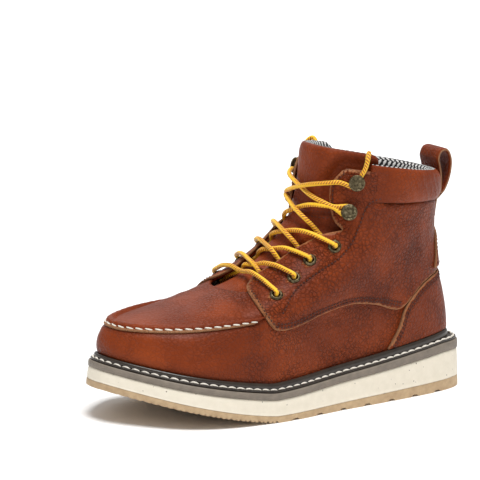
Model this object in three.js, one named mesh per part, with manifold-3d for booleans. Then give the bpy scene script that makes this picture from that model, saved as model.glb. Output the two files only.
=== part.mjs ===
// A moc toe work boot, left foot: a wedge-soled, six-inch laced boot with a raised apron seam.
// Millimetres. +X runs from the heel to the toe, +Y to the outer side of the foot, +Z up.
import * as THREE from "three";
import { mergeVertices } from "three/addons/utils/BufferGeometryUtils.js";
import Module from "manifold-3d";

const wasm = await Module();
wasm.setup();

// Overall sizes
const SOLE_LENGTH = 312;
const BALL_WIDTH = 117;
const SHAFT_HEIGHT = 150; // heel seat to the front of the collar
const TOE_SPRING = 25;
const GAP = 0.3; // between pieces that touch
const SEAT_GAP = 0.5; // above the ledge, whose top is hollow

// Sole stack, from the ground up
const HEEL_STACK = 36.5;
const BALL_STACK = 21.5;
const TOE_STACK = 19;
const OUTSOLE_HEEL = 8.5;
const OUTSOLE_FORE = 5;
const LEDGE_HEEL = 7;
const LEDGE_FORE = 5;
const SOLE_FLARE = 1.5; // how far the foot of the sole stands outside its top edge
const LAYER_STEP = 0.5; // how far one layer's edge stands proud of the next

// Tread
const LUG_PITCH = 24.5;
const LUG_GROOVE = 8;
const LUG_GROOVE_DEPTH = 1.6;
const LUG_RUN = [32, 190]; // from the heel's back to where the toe starts to rise
const RIB_PITCH = 8;
const RIB_GROOVE = 3;
const RIB_GROOVE_DEPTH = 1.6;
const RIB_RUN = [197, 300];

// Storm welt
const FLANGE_THICK = 1.6;
const BEAD_WIDTH = 3.4;
const BEAD_LEVEL = 0.62; // section level where the bead ends
const WELT_SETBACK = 1.4; // flange edge inside the ledge's edge

// Leathers and paddings
const WALL = 2.2;
const OVERLAY = 1.8;
const COUNTER_THICK = 2.3;
const BACKSTAY_THICK = 1.6;
const SEAM_LEVEL = 3; // at the toe
const SEAM_CLIMB = 0.7; // section levels that it rises for each square radian
const SEAM_HEIGHT = 3;
const SEAM_SPAN = 0.3; // half its width, in section levels
const SEAM_END = SOLE_LENGTH * 0.676; // how far back the raised seam runs
const CUFF_LEVEL = 9.13; // section level of the pad's lower edge
const COLLAR_LEVEL = 9.85;
const CUFF_FRONT = 0.343; // share of the length
const CUFF_LIP = 0.22; // thickness left at the pad's front ends, as a share
const CUFF_OUT = 5.6;
const CUFF_IN = 5.5;
const TONGUE_THICK = 4.5;
const TONGUE_ROOF = 2; // tongue's outer face below the boot's, in the middle
const TONGUE_DEEP = 7.4; // and under the eyelet facings
const TONGUE_LEVELS = [5.35, 10.33];
const INSOLE_THICK = 4;
const LOOP_WIDTH = 24;
const LOOP_THICK = 2.4;
const LOOP_RISE = 34; // above the pad's lower edge
const LOOP_DEPTH = 9;

// Hardware and lace
const EYELET_HOLE = 2.7;
const EYELET_BARREL = 3.2;
const EYELET_FLANGE = 4.9;
const HOOK_STEM = 1.9;
const HOOK_NECK = 2.2;
const HOOK_BASE = 4.6;
const HOOK_HEAD = 6.2;
const HOOK_RISE = 5.4; // leather to the underside of the head
const LACE_DIAMETER = 3.4;

// How finely the forms are cut
const AROUND = 32;
const SOLE_AROUND = 120; // finer than what stands on it, since its top is hollow along the ball
const TUBE_SIDES = 5;
const TURNED_SIDES = 8;

const HALF = BALL_WIDTH / 2;
const LEATHER = GAP + OVERLAY; // height of the quarter's outer face
const LACE_RADIUS = LACE_DIAMETER / 2;
const SPRING_START = 0.625; // share of the length
const SPRING_POWER = 1.25;

const clamp = (t, lo = 0, hi = 1) => Math.min(hi, Math.max(lo, t));
const lerp = (a, b, t) => a + (b - a) * t;
const smooth = (t) => clamp(t) ** 2 * (3 - 2 * clamp(t));

// Curves through values

// A smooth value through evenly spaced ones, with index i from 0 to the last.
function spline(values, i) {
  const last = values.length - 1;
  const k = clamp(Math.floor(i), 0, last - 1);
  const t = i - k;
  const p1 = values[k];
  const p2 = values[k + 1];
  const p0 = k > 0 ? values[k - 1] : 2 * p1 - p2;
  const p3 = k + 2 <= last ? values[k + 2] : 2 * p2 - p1;
  const m1 = (p2 - p0) / 2;
  const m2 = (p3 - p1) / 2;
  return (
    (2 * t ** 3 - 3 * t ** 2 + 1) * p1 +
    (t ** 3 - 2 * t ** 2 + t) * m1 +
    (3 * t ** 2 - 2 * t ** 3) * p2 +
    (t ** 3 - t ** 2) * m2
  );
}

// A smooth value through ones at uneven stations, which never overshoots them.
function through(stations, values, at) {
  const last = stations.length - 1;
  if (at <= stations[0]) return values[0];
  if (at >= stations[last]) return values[last];
  let k = 0;
  while (at > stations[k + 1]) k += 1;
  const slope = (j) => (values[j + 1] - values[j]) / (stations[j + 1] - stations[j]);
  const tangent = (j) => {
    if (j === 0) return slope(0);
    if (j === last) return slope(last - 1);
    const product = slope(j - 1) * slope(j);
    return product <= 0 ? 0 : (2 * product) / (slope(j - 1) + slope(j));
  };
  const h = stations[k + 1] - stations[k];
  const t = (at - stations[k]) / h;
  return (
    (2 * t ** 3 - 3 * t ** 2 + 1) * values[k] +
    (t ** 3 - 2 * t ** 2 + t) * h * tangent(k) +
    (3 * t ** 2 - 2 * t ** 3) * values[k + 1] +
    (t ** 3 - t ** 2) * h * tangent(k + 1)
  );
}

// The sole's profile

const STACK_STATIONS = [0.08, 0.36, 0.66, 1];
const STACK_FALL = [0, 0.6, 1, 1]; // share of the drop from the heel's stack to the ball's
function soleBottom(x) {
  const t = clamp((x / SOLE_LENGTH - SPRING_START) / (1 - SPRING_START));
  return TOE_SPRING * t ** SPRING_POWER;
}
function soleTop(x) {
  const share = x / SOLE_LENGTH;
  const stack = lerp(HEEL_STACK, BALL_STACK, through(STACK_STATIONS, STACK_FALL, share));
  return soleBottom(x) + stack + (TOE_STACK - BALL_STACK) * smooth((share - 0.66) / 0.34);
}
const outsoleTop = (x) => soleBottom(x) + lerp(OUTSOLE_HEEL, OUTSOLE_FORE, smooth(x / SOLE_LENGTH / 0.62));
const ledgeBottom = (x) => soleTop(x) - lerp(LEDGE_HEEL, LEDGE_FORE, smooth(x / SOLE_LENGTH / 0.5));

// The sections of the upper, from the feather line up to the tongue's tip. Each runs from a point on the
// front of the boot to one on its back. Lengths are shares of the sole's, rises of the shaft's height,
// widths of half the ball's, given at six places from front to back. follow: how far the front rises with
// the toe spring. sag: how far the section follows the dip of the sole. camber: how far the front is
// shifted inwards.
const PLACES = [0, 0.14, 0.36, 0.62, 0.86, 1];
const SECTION_COLUMNS = [
  "frontX", "frontRise", "follow", "backX", "backRise", "sag",
  "tip", "toe", "ball", "waist", "heel", "end", "camber",
];
const SECTION_ROWS = [
  [0.97, 0.003, 1.0, 0.04, 0.003, 1.0, 0.8, 1.05, 0.88, 0.63, 0.57, 0.59, 0.2],
  [0.982, 0.067, 1.0, 0.043, 0.085, 1.0, 0.84, 1.09, 0.89, 0.64, 0.59, 0.62, 0.2],
  [0.975, 0.14, 1.0, 0.048, 0.17, 0.8, 0.83, 1.05, 0.87, 0.65, 0.61, 0.61, 0.2],
  [0.95, 0.197, 1.0, 0.058, 0.262, 0.35, 0.78, 0.97, 0.83, 0.65, 0.61, 0.59, 0.19],
  [0.85, 0.256, 0.6, 0.07, 0.345, 0.18, 0.8, 0.88, 0.81, 0.65, 0.59, 0.57, 0.17],
  [0.735, 0.319, 0.3, 0.079, 0.43, 0.08, 0.82, 0.84, 0.79, 0.65, 0.58, 0.55, 0.13],
  [0.635, 0.395, 0.1, 0.087, 0.515, 0, 0.8, 0.8, 0.75, 0.64, 0.57, 0.54, 0.09],
  [0.545, 0.517, 0, 0.091, 0.59, 0, 0.72, 0.72, 0.7, 0.64, 0.57, 0.53, 0.06],
  [0.485, 0.655, 0, 0.094, 0.66, 0, 0.66, 0.67, 0.67, 0.64, 0.58, 0.54, 0.04],
  [0.458, 0.79, 0, 0.096, 0.735, 0, 0.64, 0.66, 0.68, 0.66, 0.6, 0.57, 0.02],
  [0.445, 1.0, 0, 0.097, 0.885, 0, 0.65, 0.68, 0.7, 0.69, 0.63, 0.59, 0.01],
  [0.43, 1.16, 0, 0.1, 1.0, 0, 0.67, 0.7, 0.72, 0.71, 0.65, 0.61, 0.01],
];
const COLUMN = Object.fromEntries(
  SECTION_COLUMNS.map((name, c) => [name, SECTION_ROWS.map((row) => row[c])]),
);
const SOLE_OUTLINE = { tip: 0.86, toe: 1.21, ball: 1.0, waist: 0.74, heel: 0.67, end: 0.67, camber: 0.22 };
// Power of the sine that closes a section's two ends: fuller at the heel than at the toe.
const ROUNDING_FRONT = 0.8;
const ROUNDING_BACK = 0.66;
const bulge = (theta, a) => {
  const s = Math.sin(theta);
  return Math.sign(s) * Math.abs(s) ** lerp(ROUNDING_FRONT, ROUNDING_BACK, smooth((a - 0.3) / 0.5));
};

const FEATHER_FRONT = SECTION_ROWS[0][0] * SOLE_LENGTH;
const FEATHER_BACK = SECTION_ROWS[0][3] * SOLE_LENGTH;
const TOE_SEAT = soleTop(FEATHER_FRONT);
const soleDip = (x) =>
  soleTop(x) - lerp(HEEL_STACK, TOE_SEAT, clamp((x - FEATHER_BACK) / (FEATHER_FRONT - FEATHER_BACK)));

// How far to the side an outline lies at angle theta: 0 at its front, PI at its back, positive outwards.
function sideways(w, theta) {
  const a = (1 - Math.cos(theta)) / 2;
  const width = through(PLACES, [w.tip, w.toe, w.ball, w.waist, w.heel, w.end], a) * HALF;
  return width * bulge(theta, a) - w.camber * HALF * clamp(1 - 2 * a) ** 2;
}

// A point of the upper's outer face at section level v.
function skin(v, theta) {
  const s = {};
  for (const name of SECTION_COLUMNS) s[name] = spline(COLUMN[name], v);
  const a = (1 - Math.cos(theta)) / 2;
  const x = lerp(s.frontX, s.backX, a) * SOLE_LENGTH;
  const front = lerp(HEEL_STACK, TOE_SEAT, s.follow) + s.frontRise * SHAFT_HEIGHT;
  const back = HEEL_STACK + s.backRise * SHAFT_HEIGHT;
  return new THREE.Vector3(x, sideways(s, theta), lerp(front, back, a) + s.sag * soleDip(x));
}
function normal(v, theta) {
  const d = 0.02;
  const up = skin(v + d, theta).sub(skin(v - d, theta));
  return skin(v, theta + d).sub(skin(v, theta - d)).cross(up).normalize();
}
const off = (v, theta, out) => skin(v, theta).addScaledVector(normal(v, theta), out);

// The level and angle where the outer face shows at (x, z) in the side view.
function locate(x, z, side) {
  let v = 6;
  let theta = 0.9;
  for (let k = 0; k < 40; k += 1) {
    const p = skin(v, theta);
    const pv = skin(v + 1e-3, theta).sub(p).multiplyScalar(1e3);
    const pt = skin(v, theta + 1e-3).sub(p).multiplyScalar(1e3);
    const det = pv.x * pt.z - pt.x * pv.z;
    const ex = x - p.x;
    const ez = z - p.z;
    v = clamp(v + clamp((ex * pt.z - ez * pt.x) / det, -0.8, 0.8), 0.02, 10.9);
    theta = clamp(theta + clamp((pv.x * ez - pv.z * ex) / det, -0.3, 0.3), 0.05, 3.1);
  }
  return { v, theta: theta * side };
}

// Solids

function solidOf(points, faces) {
  const g = new THREE.BufferGeometry();
  g.setAttribute("position", new THREE.Float32BufferAttribute(points.flatMap((p) => [p.x, p.y, p.z]), 3));
  g.setIndex(faces);
  return closed(g);
}
function closed(geometry) {
  const g = geometry.clone();
  g.deleteAttribute("normal");
  g.deleteAttribute("uv");
  const merged = mergeVertices(g, 1e-4);
  const make = (tris) =>
    new wasm.Manifold(
      new wasm.Mesh({
        numProp: 3,
        vertProperties: new Float32Array(merged.attributes.position.array),
        triVerts: new Uint32Array(tris),
      }),
    );
  const tris = Array.from(merged.index.array);
  const solid = make(tris);
  return solid.volume() > 0 ? solid : make(tris.reverse());
}

// Rings of points joined into one body: a stack with flat ends, or a closed chain.
function loft(rings, chain = false) {
  const n = rings[0].length;
  const faces = [];
  const last = rings.length - (chain ? 0 : 1);
  for (let k = 0; k < last; k += 1) {
    const here = k * n;
    const next = ((k + 1) % rings.length) * n;
    for (let i = 0; i < n; i += 1) {
      const j = (i + 1) % n;
      faces.push(here + i, here + j, next + j, here + i, next + j, next + i);
    }
  }
  if (!chain) {
    for (const [base, flip] of [[0, true], [(rings.length - 1) * n, false]]) {
      for (let i = 0; i < n / 2; i += 1) {
        const a = base + i;
        const b = base + i + 1;
        const c = base + ((n - i - 1) % n);
        const d = base + ((n - i) % n);
        const quads = [];
        if (a !== d) quads.push([a, b, d]);
        if (b !== c) quads.push([b, c, d]);
        for (const t of quads) faces.push(...(flip ? t.reverse() : t));
      }
    }
  }
  return solidOf(rings.flat(), faces);
}
const turn = (make, n = AROUND) => Array.from({ length: n }, (_, i) => make((2 * Math.PI * i) / n));

// A side-view outline [x, z] made into a block from y0 to y1.
function block(outline, y0, y1) {
  const shape = new THREE.Shape(outline.map(([x, z]) => new THREE.Vector2(x, z)));
  const geometry = new THREE.ExtrudeGeometry(shape, { depth: y1 - y0, bevelEnabled: false });
  return geometry.rotateX(Math.PI / 2).translate(0, y1, 0);
}
const slab = (outline, y0, y1) => closed(block(outline, y0, y1));

// Smooths an outline's corners: each point is replaced by two, a quarter of the way to its neighbours.
function soften(outline, times = 1) {
  let ring = outline;
  for (let k = 0; k < times; k += 1) {
    ring = ring.flatMap(([x, z], i) => {
      const [u, w] = ring[(i + 1) % ring.length];
      return [[lerp(x, u, 0.25), lerp(z, w, 0.25)], [lerp(x, u, 0.75), lerp(z, w, 0.75)]];
    });
  }
  return ring;
}

// A round bar through points, with flat ends.
function tube(points, radius, steps, sides = TUBE_SIDES) {
  const curve = new THREE.CatmullRomCurve3(points, false, "centripetal");
  const frames = curve.computeFrenetFrames(steps, false);
  const rings = [];
  for (let k = 0; k <= steps; k += 1) {
    const at = curve.getPointAt(k / steps);
    rings.push(
      turn(
        (phi) =>
          at
            .clone()
            .addScaledVector(frames.normals[k], radius * Math.cos(phi))
            .addScaledVector(frames.binormals[k], radius * Math.sin(phi)),
        sides,
      ),
    );
  }
  return loft(rings);
}

// A turned piece [radius, height], set on the outer face at a spot with its axis along the normal.
function turned(profile, spot, sides = TURNED_SIDES) {
  const to = new THREE.Matrix4().compose(
    skin(spot.v, spot.theta),
    new THREE.Quaternion().setFromUnitVectors(new THREE.Vector3(0, 1, 0), normal(spot.v, spot.theta)),
    new THREE.Vector3(1, 1, 1),
  );
  return closed(new THREE.LatheGeometry(profile.map(([r, h]) => new THREE.Vector2(r, h)), sides).applyMatrix4(to));
}

// Sole

const outlineRing = (w, out, z) =>
  turn((theta) => {
    const a = (1 - Math.cos(theta)) / 2;
    const x = lerp(SOLE_LENGTH, 0, a) + out * Math.cos(theta);
    const y = sideways(w, theta) + out * bulge(theta, a);
    return new THREE.Vector3(x, y, z(clamp(x, 0, SOLE_LENGTH)));
  }, SOLE_AROUND);
const layer = (outTop, top, outFoot, foot) =>
  loft([outlineRing(SOLE_OUTLINE, outFoot, foot), outlineRing(SOLE_OUTLINE, outTop, top)]);

const ledge = layer(0, soleTop, 0.3, ledgeBottom);
const midsole = layer(0.3 - LAYER_STEP, (x) => ledgeBottom(x) - GAP, SOLE_FLARE - LAYER_STEP, (x) => outsoleTop(x) + GAP);
let outsole = layer(SOLE_FLARE - 0.4, outsoleTop, SOLE_FLARE, soleBottom);
function groove(x, width, depth) {
  const z = soleBottom(x);
  return slab([[x - width / 2, z - 8], [x + width / 2, z - 8], [x + width / 4, z + depth], [x - width / 4, z + depth]], -90, 90);
}
const grooves = [];
for (let x = LUG_RUN[0]; x <= LUG_RUN[1]; x += LUG_PITCH) grooves.push(groove(x, LUG_GROOVE, LUG_GROOVE_DEPTH));
for (let x = RIB_RUN[0]; x <= RIB_RUN[1]; x += RIB_PITCH) grooves.push(groove(x, RIB_GROOVE, RIB_GROOVE_DEPTH));
outsole = outsole.subtract(wasm.Manifold.union(grooves));

// Storm welt: a flange on the ledge with a bead against the upper
const weltSection = (theta) => {
  const onLedge = (out, up) => {
    const foot = off(0, theta, 0);
    const edge = outlineRingPoint(theta);
    const t = out / foot.distanceTo(edge);
    const p = foot.clone().lerp(edge, t);
    p.z = soleTop(clamp(p.x, 0, SOLE_LENGTH)) + SEAT_GAP + up;
    return p;
  };
  const rim = outlineRingPoint(theta).distanceTo(off(0, theta, 0)) - WELT_SETBACK;
  const low = off(0, theta, 2 * GAP);
  low.z = soleTop(clamp(low.x, 0, SOLE_LENGTH)) + SEAT_GAP;
  return [
    low,
    off(0.3, theta, 2 * GAP),
    off(BEAD_LEVEL, theta, 2 * GAP),
    off(BEAD_LEVEL + 0.03, theta, BEAD_WIDTH * 0.5),
    off(BEAD_LEVEL - 0.14, theta, BEAD_WIDTH * 0.95),
    off(BEAD_LEVEL - 0.34, theta, BEAD_WIDTH),
    onLedge(BEAD_WIDTH + 1.6, FLANGE_THICK),
    onLedge(rim, FLANGE_THICK),
    onLedge(rim, 0),
  ];
};
function outlineRingPoint(theta) {
  const a = (1 - Math.cos(theta)) / 2;
  const x = SOLE_LENGTH * (1 - a);
  return new THREE.Vector3(x, sideways(SOLE_OUTLINE, theta), soleTop(x));
}
const stormWelt = loft(turn(weltSection, 48), true);

// Insole
const insoleRing = (up) =>
  turn((theta) => {
    const p = off(up / 10, theta, -WALL - 4 * GAP);
    p.z = soleTop(clamp(p.x, 0, SOLE_LENGTH)) + GAP + up;
    return p;
  });
const insole = loft([insoleRing(0), insoleRing(INSOLE_THICK)]);

// Upper

const LEVELS = [0, 0.7, 1.35, 2, 2.7, 3, 3.3, 4, 4.8, 5.6, 6.4, 7.2, 8, 8.5, 9, COLLAR_LEVEL];
// The space inside the outer face moved out by a distance, from level v0 to v1, both ends run on by some way.
function form(out, v0, v1, run = 0) {
  const levels = [v0, ...LEVELS.filter((v) => v > v0 + 0.05 && v < v1 - 0.05), v1];
  const rings = levels.map((v) => turn((theta) => off(v, theta, out)));
  if (run) {
    const shift = (ring, by) => ring.map((p) => p.clone().setZ(p.z + by));
    rings.unshift(shift(rings[0], -run));
    rings.push(shift(rings[rings.length - 1], run));
  }
  return loft(rings);
}
const shell = (inner, outer, v0, v1) => form(outer, v0, v1).subtract(form(inner, v0, v1, 6));

// Side-view outlines. A row is [along, up]: a share of the sole's length from the heel, and of the shaft's
// height above the heel's seat.
const THROAT_LEVEL = 5.6; // section level of the vamp's edge under the lace
const THROAT_FOOT = skin(THROAT_LEVEL, 0).z;
const sideView = (rows) => rows.map(([along, up]) => [along * SOLE_LENGTH, HEEL_STACK + up * SHAFT_HEIGHT]);
const FACING_BACKING = 0.085; // how far the upper's own edge lies behind the quarter's, in radians
const FACING_LOW = sideView([[0.647, 0.363], [0.619, 0.407], [0.558, 0.48], [0.506, 0.555], [0.458, 0.62]]);
const NOTCH = sideView([[0.436, 0.635], [0.407, 0.649], [0.421, 0.69]]);
const FACING_HIGH = sideView([[0.425, 0.73], [0.426, 0.803], [0.421, 0.883], [0.403, 0.945]]);
const FACING = [...FACING_LOW, ...NOTCH, ...FACING_HIGH];
const TAB_FRONT = sideView([[0.638, 0.237], [0.652, 0.303]]);
const QUARTER_FOOT = sideView([
  [0.622, 0.207], [0.596, 0.2], [0.553, 0.213], [0.478, 0.257], [0.394, 0.281], [0.314, 0.26], [0.231, 0.217],
]);
const COUNTER_EDGE = sideView([
  [0.256, 0.032], [0.232, 0.112], [0.21, 0.221], [0.147, 0.322], [0.09, 0.362], [0.043, 0.372], [-0.032, 0.374],
]);
const PIECE_GAP = 0.9; // in the side view, from the counter's edge to the quarter's
const quarterOutline = [
  TAB_FRONT[1],
  ...sideView([[0.663, 0.39], [0.663, 1.037], [-0.032, 1.037]]),
  ...COUNTER_EDGE.slice(3)
    .reverse()
    .map(([x, z]) => [x + PIECE_GAP, z + PIECE_GAP]),
  ...QUARTER_FOOT.slice().reverse(),
  TAB_FRONT[0],
];

const EYELETS = sideView([[0.599, 0.357], [0.543, 0.429], [0.493, 0.506], [0.432, 0.571]]);
const HOOKS = sideView([[0.392, 0.741], [0.376, 0.891]]);
const SIDES = [["lateral", 1], ["medial", -1]];
const spots = Object.fromEntries(
  SIDES.map(([name, side]) => [
    name,
    { eyelets: EYELETS.map(([x, z]) => locate(x, z, side)), hooks: HOOKS.map(([x, z]) => locate(x, z, side)) },
  ]),
);
const drill = (spot, radius) => turned([[0, -9], [radius, -9], [radius, 9], [0, 9]], spot);
const bores = wasm.Manifold.union(
  SIDES.flatMap(([name]) => [
    ...spots[name].eyelets.map((s) => drill(s, EYELET_BARREL + GAP)),
    ...spots[name].hooks.map((s) => drill(s, HOOK_STEM + GAP)),
  ]),
);

// The angle of the facings' front edge at each level, with the notch and without it.
const inside = ([x, z], ring) =>
  ring.reduce((hit, [u, w], i) => {
    const [s, t] = ring[(i + 1) % ring.length];
    return w > z !== t > z && x < u + ((s - u) * (z - w)) / (t - w) ? !hit : hit;
  }, false);
const open = (facing) => [
  ...sideView([[0.737, 0.157], [0.652, 0.157]]),
  TAB_FRONT[1],
  ...facing,
  ...sideView([[0.372, 0.993], [0.353, 1.19], [0.737, 1.19]]),
];
const EDGE_LEVELS = Array.from({ length: 41 }, (_, k) => 4.6 + k * 0.16);
const edgeTable = (side, facing) =>
  EDGE_LEVELS.map((v) => {
    let edge = 0.2;
    for (let t = 0.02; t < 1.6; t += 0.01) {
      const p = skin(v, t * side);
      if (inside([p.x, p.z], open(facing))) edge = t;
    }
    return edge;
  });
const PLAIN = { 1: edgeTable(1, [...FACING_LOW, ...FACING_HIGH]), [-1]: edgeTable(-1, [...FACING_LOW, ...FACING_HIGH]) };
const NOTCHED = { 1: edgeTable(1, FACING), [-1]: edgeTable(-1, FACING) };
const facingTheta = (v, side) => through(EDGE_LEVELS, PLAIN[side], v);

// The ends of a sheet whose rings run there and back are closed across their thickness.
function sheet(rings) {
  const n = rings[0].length;
  const faces = [];
  for (let k = 0; k < rings.length - 1; k += 1) {
    for (let i = 0; i < n; i += 1) {
      const j = (i + 1) % n;
      const here = k * n;
      const next = here + n;
      faces.push(here + i, here + j, next + j, here + i, next + j, next + i);
    }
  }
  for (const [base, flip] of [[0, true], [(rings.length - 1) * n, false]]) {
    for (let i = 0; i < n / 2 - 1; i += 1) {
      const quad = [base + i, base + i + 1, base + n - i - 2, base + n - i - 1];
      const tris = [[quad[0], quad[1], quad[2]], [quad[0], quad[2], quad[3]]];
      for (const t of tris) faces.push(...(flip ? t.reverse() : t));
    }
  }
  return solidOf(rings.flat(), faces);
}
// What is cut away between the facings, square to the leather. more: how far beyond their edges, in radians.
function throat(from, more) {
  const rings = EDGE_LEVELS.map((v, k) => [v, k])
    .filter(([v]) => v > from)
    .map(([v, k]) => {
      const row = (out) =>
        Array.from({ length: 13 }, (_, i) => off(v, lerp(-NOTCHED[-1][k] - more, NOTCHED[1][k] + more, i / 12), out));
      return [...row(9), ...row(-5).reverse()];
    });
  return sheet(rings);
}
const upper = shell(-WALL, 0, 0, COLLAR_LEVEL).subtract(throat(THROAT_LEVEL, FACING_BACKING)).subtract(bores);

// Overlays cut between two larger forms
const overlayBand = shell(GAP, GAP + OVERLAY, 0.7, COLLAR_LEVEL);
const behindFront = sideView([[-0.07, 0.15], [CUFF_FRONT + 0.006, 0.15], [CUFF_FRONT + 0.006, 1.3], [-0.07, 1.3]]);
const cuffZone = form(9, CUFF_LEVEL - 0.07, 10.9).intersect(slab(behindFront, -HALF * 1.5, HALF * 1.5));
const quarters = SIDES.map(([name, side]) => {
  const cut = slab(soften(quarterOutline), side > 0 ? GAP / 2 : -90, side > 0 ? 90 : -GAP / 2);
  return [name, overlayBand.intersect(cut).subtract(cuffZone).subtract(throat(4.6, 0)).subtract(bores)];
});
const counter = shell(GAP, GAP + COUNTER_THICK, 0.7, 6.5).intersect(
  slab([...COUNTER_EDGE, ...sideView([[-0.032, -0.11], [0.257, -0.11]])], -HALF * 1.5, HALF * 1.5),
);
// One half of a rear-view outline made into a block along the heel. A row is [aside, up]: a share of half the
// ball's width, and of the shaft's height.
const rearSlab = (rows) => {
  const half = rows.map(([aside, up]) => [aside * HALF, HEEL_STACK + up * SHAFT_HEIGHT]);
  const mirrored = half.map(([y, z]) => [-y, z]).reverse();
  return closed(block([...half, ...mirrored], -20, SOLE_LENGTH / 5).rotateZ(-Math.PI / 2));
};
const BACKSTAY_EDGE = [[0.154, 0.583], [0.256, 0.53], [0.282, 0.45], [0.325, 0.387]];
const backstay = shell(2 * GAP + OVERLAY, 2 * GAP + OVERLAY + BACKSTAY_THICK, 3, 9).intersect(rearSlab(BACKSTAY_EDGE));

// Raised apron seam
const seamLevel = (theta) => SEAM_LEVEL + SEAM_CLIMB * theta ** 2;
const seamEnd = (side) => {
  let t = 0.3;
  while (skin(seamLevel(t), t * side).x > SEAM_END) t += 0.005;
  return t;
};
const seamSection = (theta) => {
  const level = seamLevel(theta);
  return [
    off(level - SEAM_SPAN, theta, GAP),
    off(level - SEAM_SPAN * 0.95, theta, GAP + SEAM_HEIGHT * 0.55),
    off(level - SEAM_SPAN * 0.4, theta, GAP + SEAM_HEIGHT * 0.98),
    off(level + SEAM_SPAN * 0.3, theta, GAP + SEAM_HEIGHT * 0.85),
    off(level + SEAM_SPAN, theta, GAP),
    off(level, theta, GAP),
  ];
};
const seamRings = [seamSection(-seamEnd(-1))];
for (let k = -AROUND; k <= AROUND; k += 1) {
  const theta = (Math.PI * k) / AROUND;
  if (theta > -seamEnd(-1) + 0.02 && theta < seamEnd(1) - 0.02) seamRings.push(seamSection(theta));
}
seamRings.push(seamSection(seamEnd(1)));
const apronSeam = loft(seamRings);

// Padded cuff: a roll over the collar, from the outer side round the back to the inner side
const CUFF_SECTION = [
  [0, 9.13], [0.4, 9.1], [0.82, 9.24], [1, 9.5], [0.95, 9.73], [0.72, 9.91], [0.25, 10.04],
  [-0.45, 10.04], [-0.85, 9.92], [-1, 9.7], [-0.85, 9.47], [-0.5, 9.4],
];
const cuffSection = (theta, share) => {
  const ring = CUFF_SECTION.map(([out, v]) => {
    const pad = out < 0 ? out * CUFF_IN * share - WALL * clamp(-2 * out) : GAP + out * (CUFF_OUT - GAP) * share;
    return off(v, theta, pad);
  });
  ring.push(off(9.4, theta, -WALL - GAP), off(COLLAR_LEVEL + 0.02, theta, -WALL - GAP), off(COLLAR_LEVEL + 0.02, theta, GAP));
  return ring;
};
const cuffEnd = (side) => {
  let t = 0.3;
  while (skin(9.5, t * side).x > CUFF_FRONT * SOLE_LENGTH) t += 0.005;
  return t;
};
const cuffRings = [];
const CUFF_STEPS = 30;
for (let k = 0; k <= CUFF_STEPS; k += 1) {
  const u = k / CUFF_STEPS;
  const theta = lerp(cuffEnd(1), 2 * Math.PI - cuffEnd(-1), u);
  const share = lerp(CUFF_LIP, 1, smooth(Math.min(u, 1 - u) * 8));
  cuffRings.push(cuffSection(theta, share));
}

// Tongue: a padded sheet under the facings
const tongueTheta = (v) => through([5.35, 6.6, 8, 9, 10, 10.33], [0.6, 1.0, 1.15, 1.22, 1.32, 1.28], v);
// How far the tongue's outer face lies out from the boot's: deep under the facings, proud above the collar.
function tongueOut(v, theta) {
  const edge = facingTheta(v, theta < 0 ? -1 : 1);
  const deep = smooth((Math.abs(theta) / edge - 0.42) / 0.46);
  const roof = lerp(WALL + 0.6, TONGUE_ROOF, smooth((v - 5.9) / 0.5));
  return -lerp(roof, TONGUE_DEEP, deep);
}
const TONGUE_SPAN = 10;
const tongueRing = (v) => {
  const end = clamp((TONGUE_LEVELS[1] - v) / 0.35);
  const thick = TONGUE_THICK * lerp(1, 1.7, smooth((v - 9.3) / 0.8)) * lerp(0.35, 1, Math.sqrt(1 - (1 - end) ** 2));
  const outer = [];
  const inner = [];
  for (let k = 0; k <= TONGUE_SPAN; k += 1) {
    const share = (2 * k) / TONGUE_SPAN - 1;
    const theta = share * tongueTheta(v);
    const out = tongueOut(v, theta);
    const thin = Math.abs(share) > 0.99 ? 0.45 : 1;
    const drop = TONGUE_THICK * lerp(1, 1.7, smooth((v - 9.3) / 0.8));
    outer.push(off(v, theta, out - (drop - thick * thin) / 2));
    inner.push(off(v, theta, out - (drop + thick * thin) / 2));
  }
  return [...outer, ...inner.reverse()];
};
const tongueRings = [];
const TONGUE_STEPS = 13;
for (let k = 0; k <= TONGUE_STEPS; k += 1) tongueRings.push(tongueRing(lerp(...TONGUE_LEVELS, k / TONGUE_STEPS)));
const tongue = sheet(tongueRings);
const cuff = sheet(cuffRings);

// Pull loop: a strap sewn on under the pad at the back, standing in a loop behind it
// A row is [behind, up]: shares of the loop's depth and rise, from where it lies against the pad's lower edge.
const padFoot = skin(CUFF_LEVEL, Math.PI);
const LOOP_PATH = [
  [0, 0], [0.02, 0.19], [0.02, 0.39], [-0.12, 0.61], [-0.3, 0.82], [0.02, 0.98],
  [0.59, 0.98], [0.97, 0.8], [0.99, 0.54], [0.72, 0.27], [0.34, 0.08], [-0.1, -0.03],
].map(([behind, up]) => [
  padFoot.x - CUFF_OUT - GAP - LOOP_THICK / 2 - behind * LOOP_DEPTH,
  padFoot.z + up * LOOP_RISE,
]);
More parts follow.
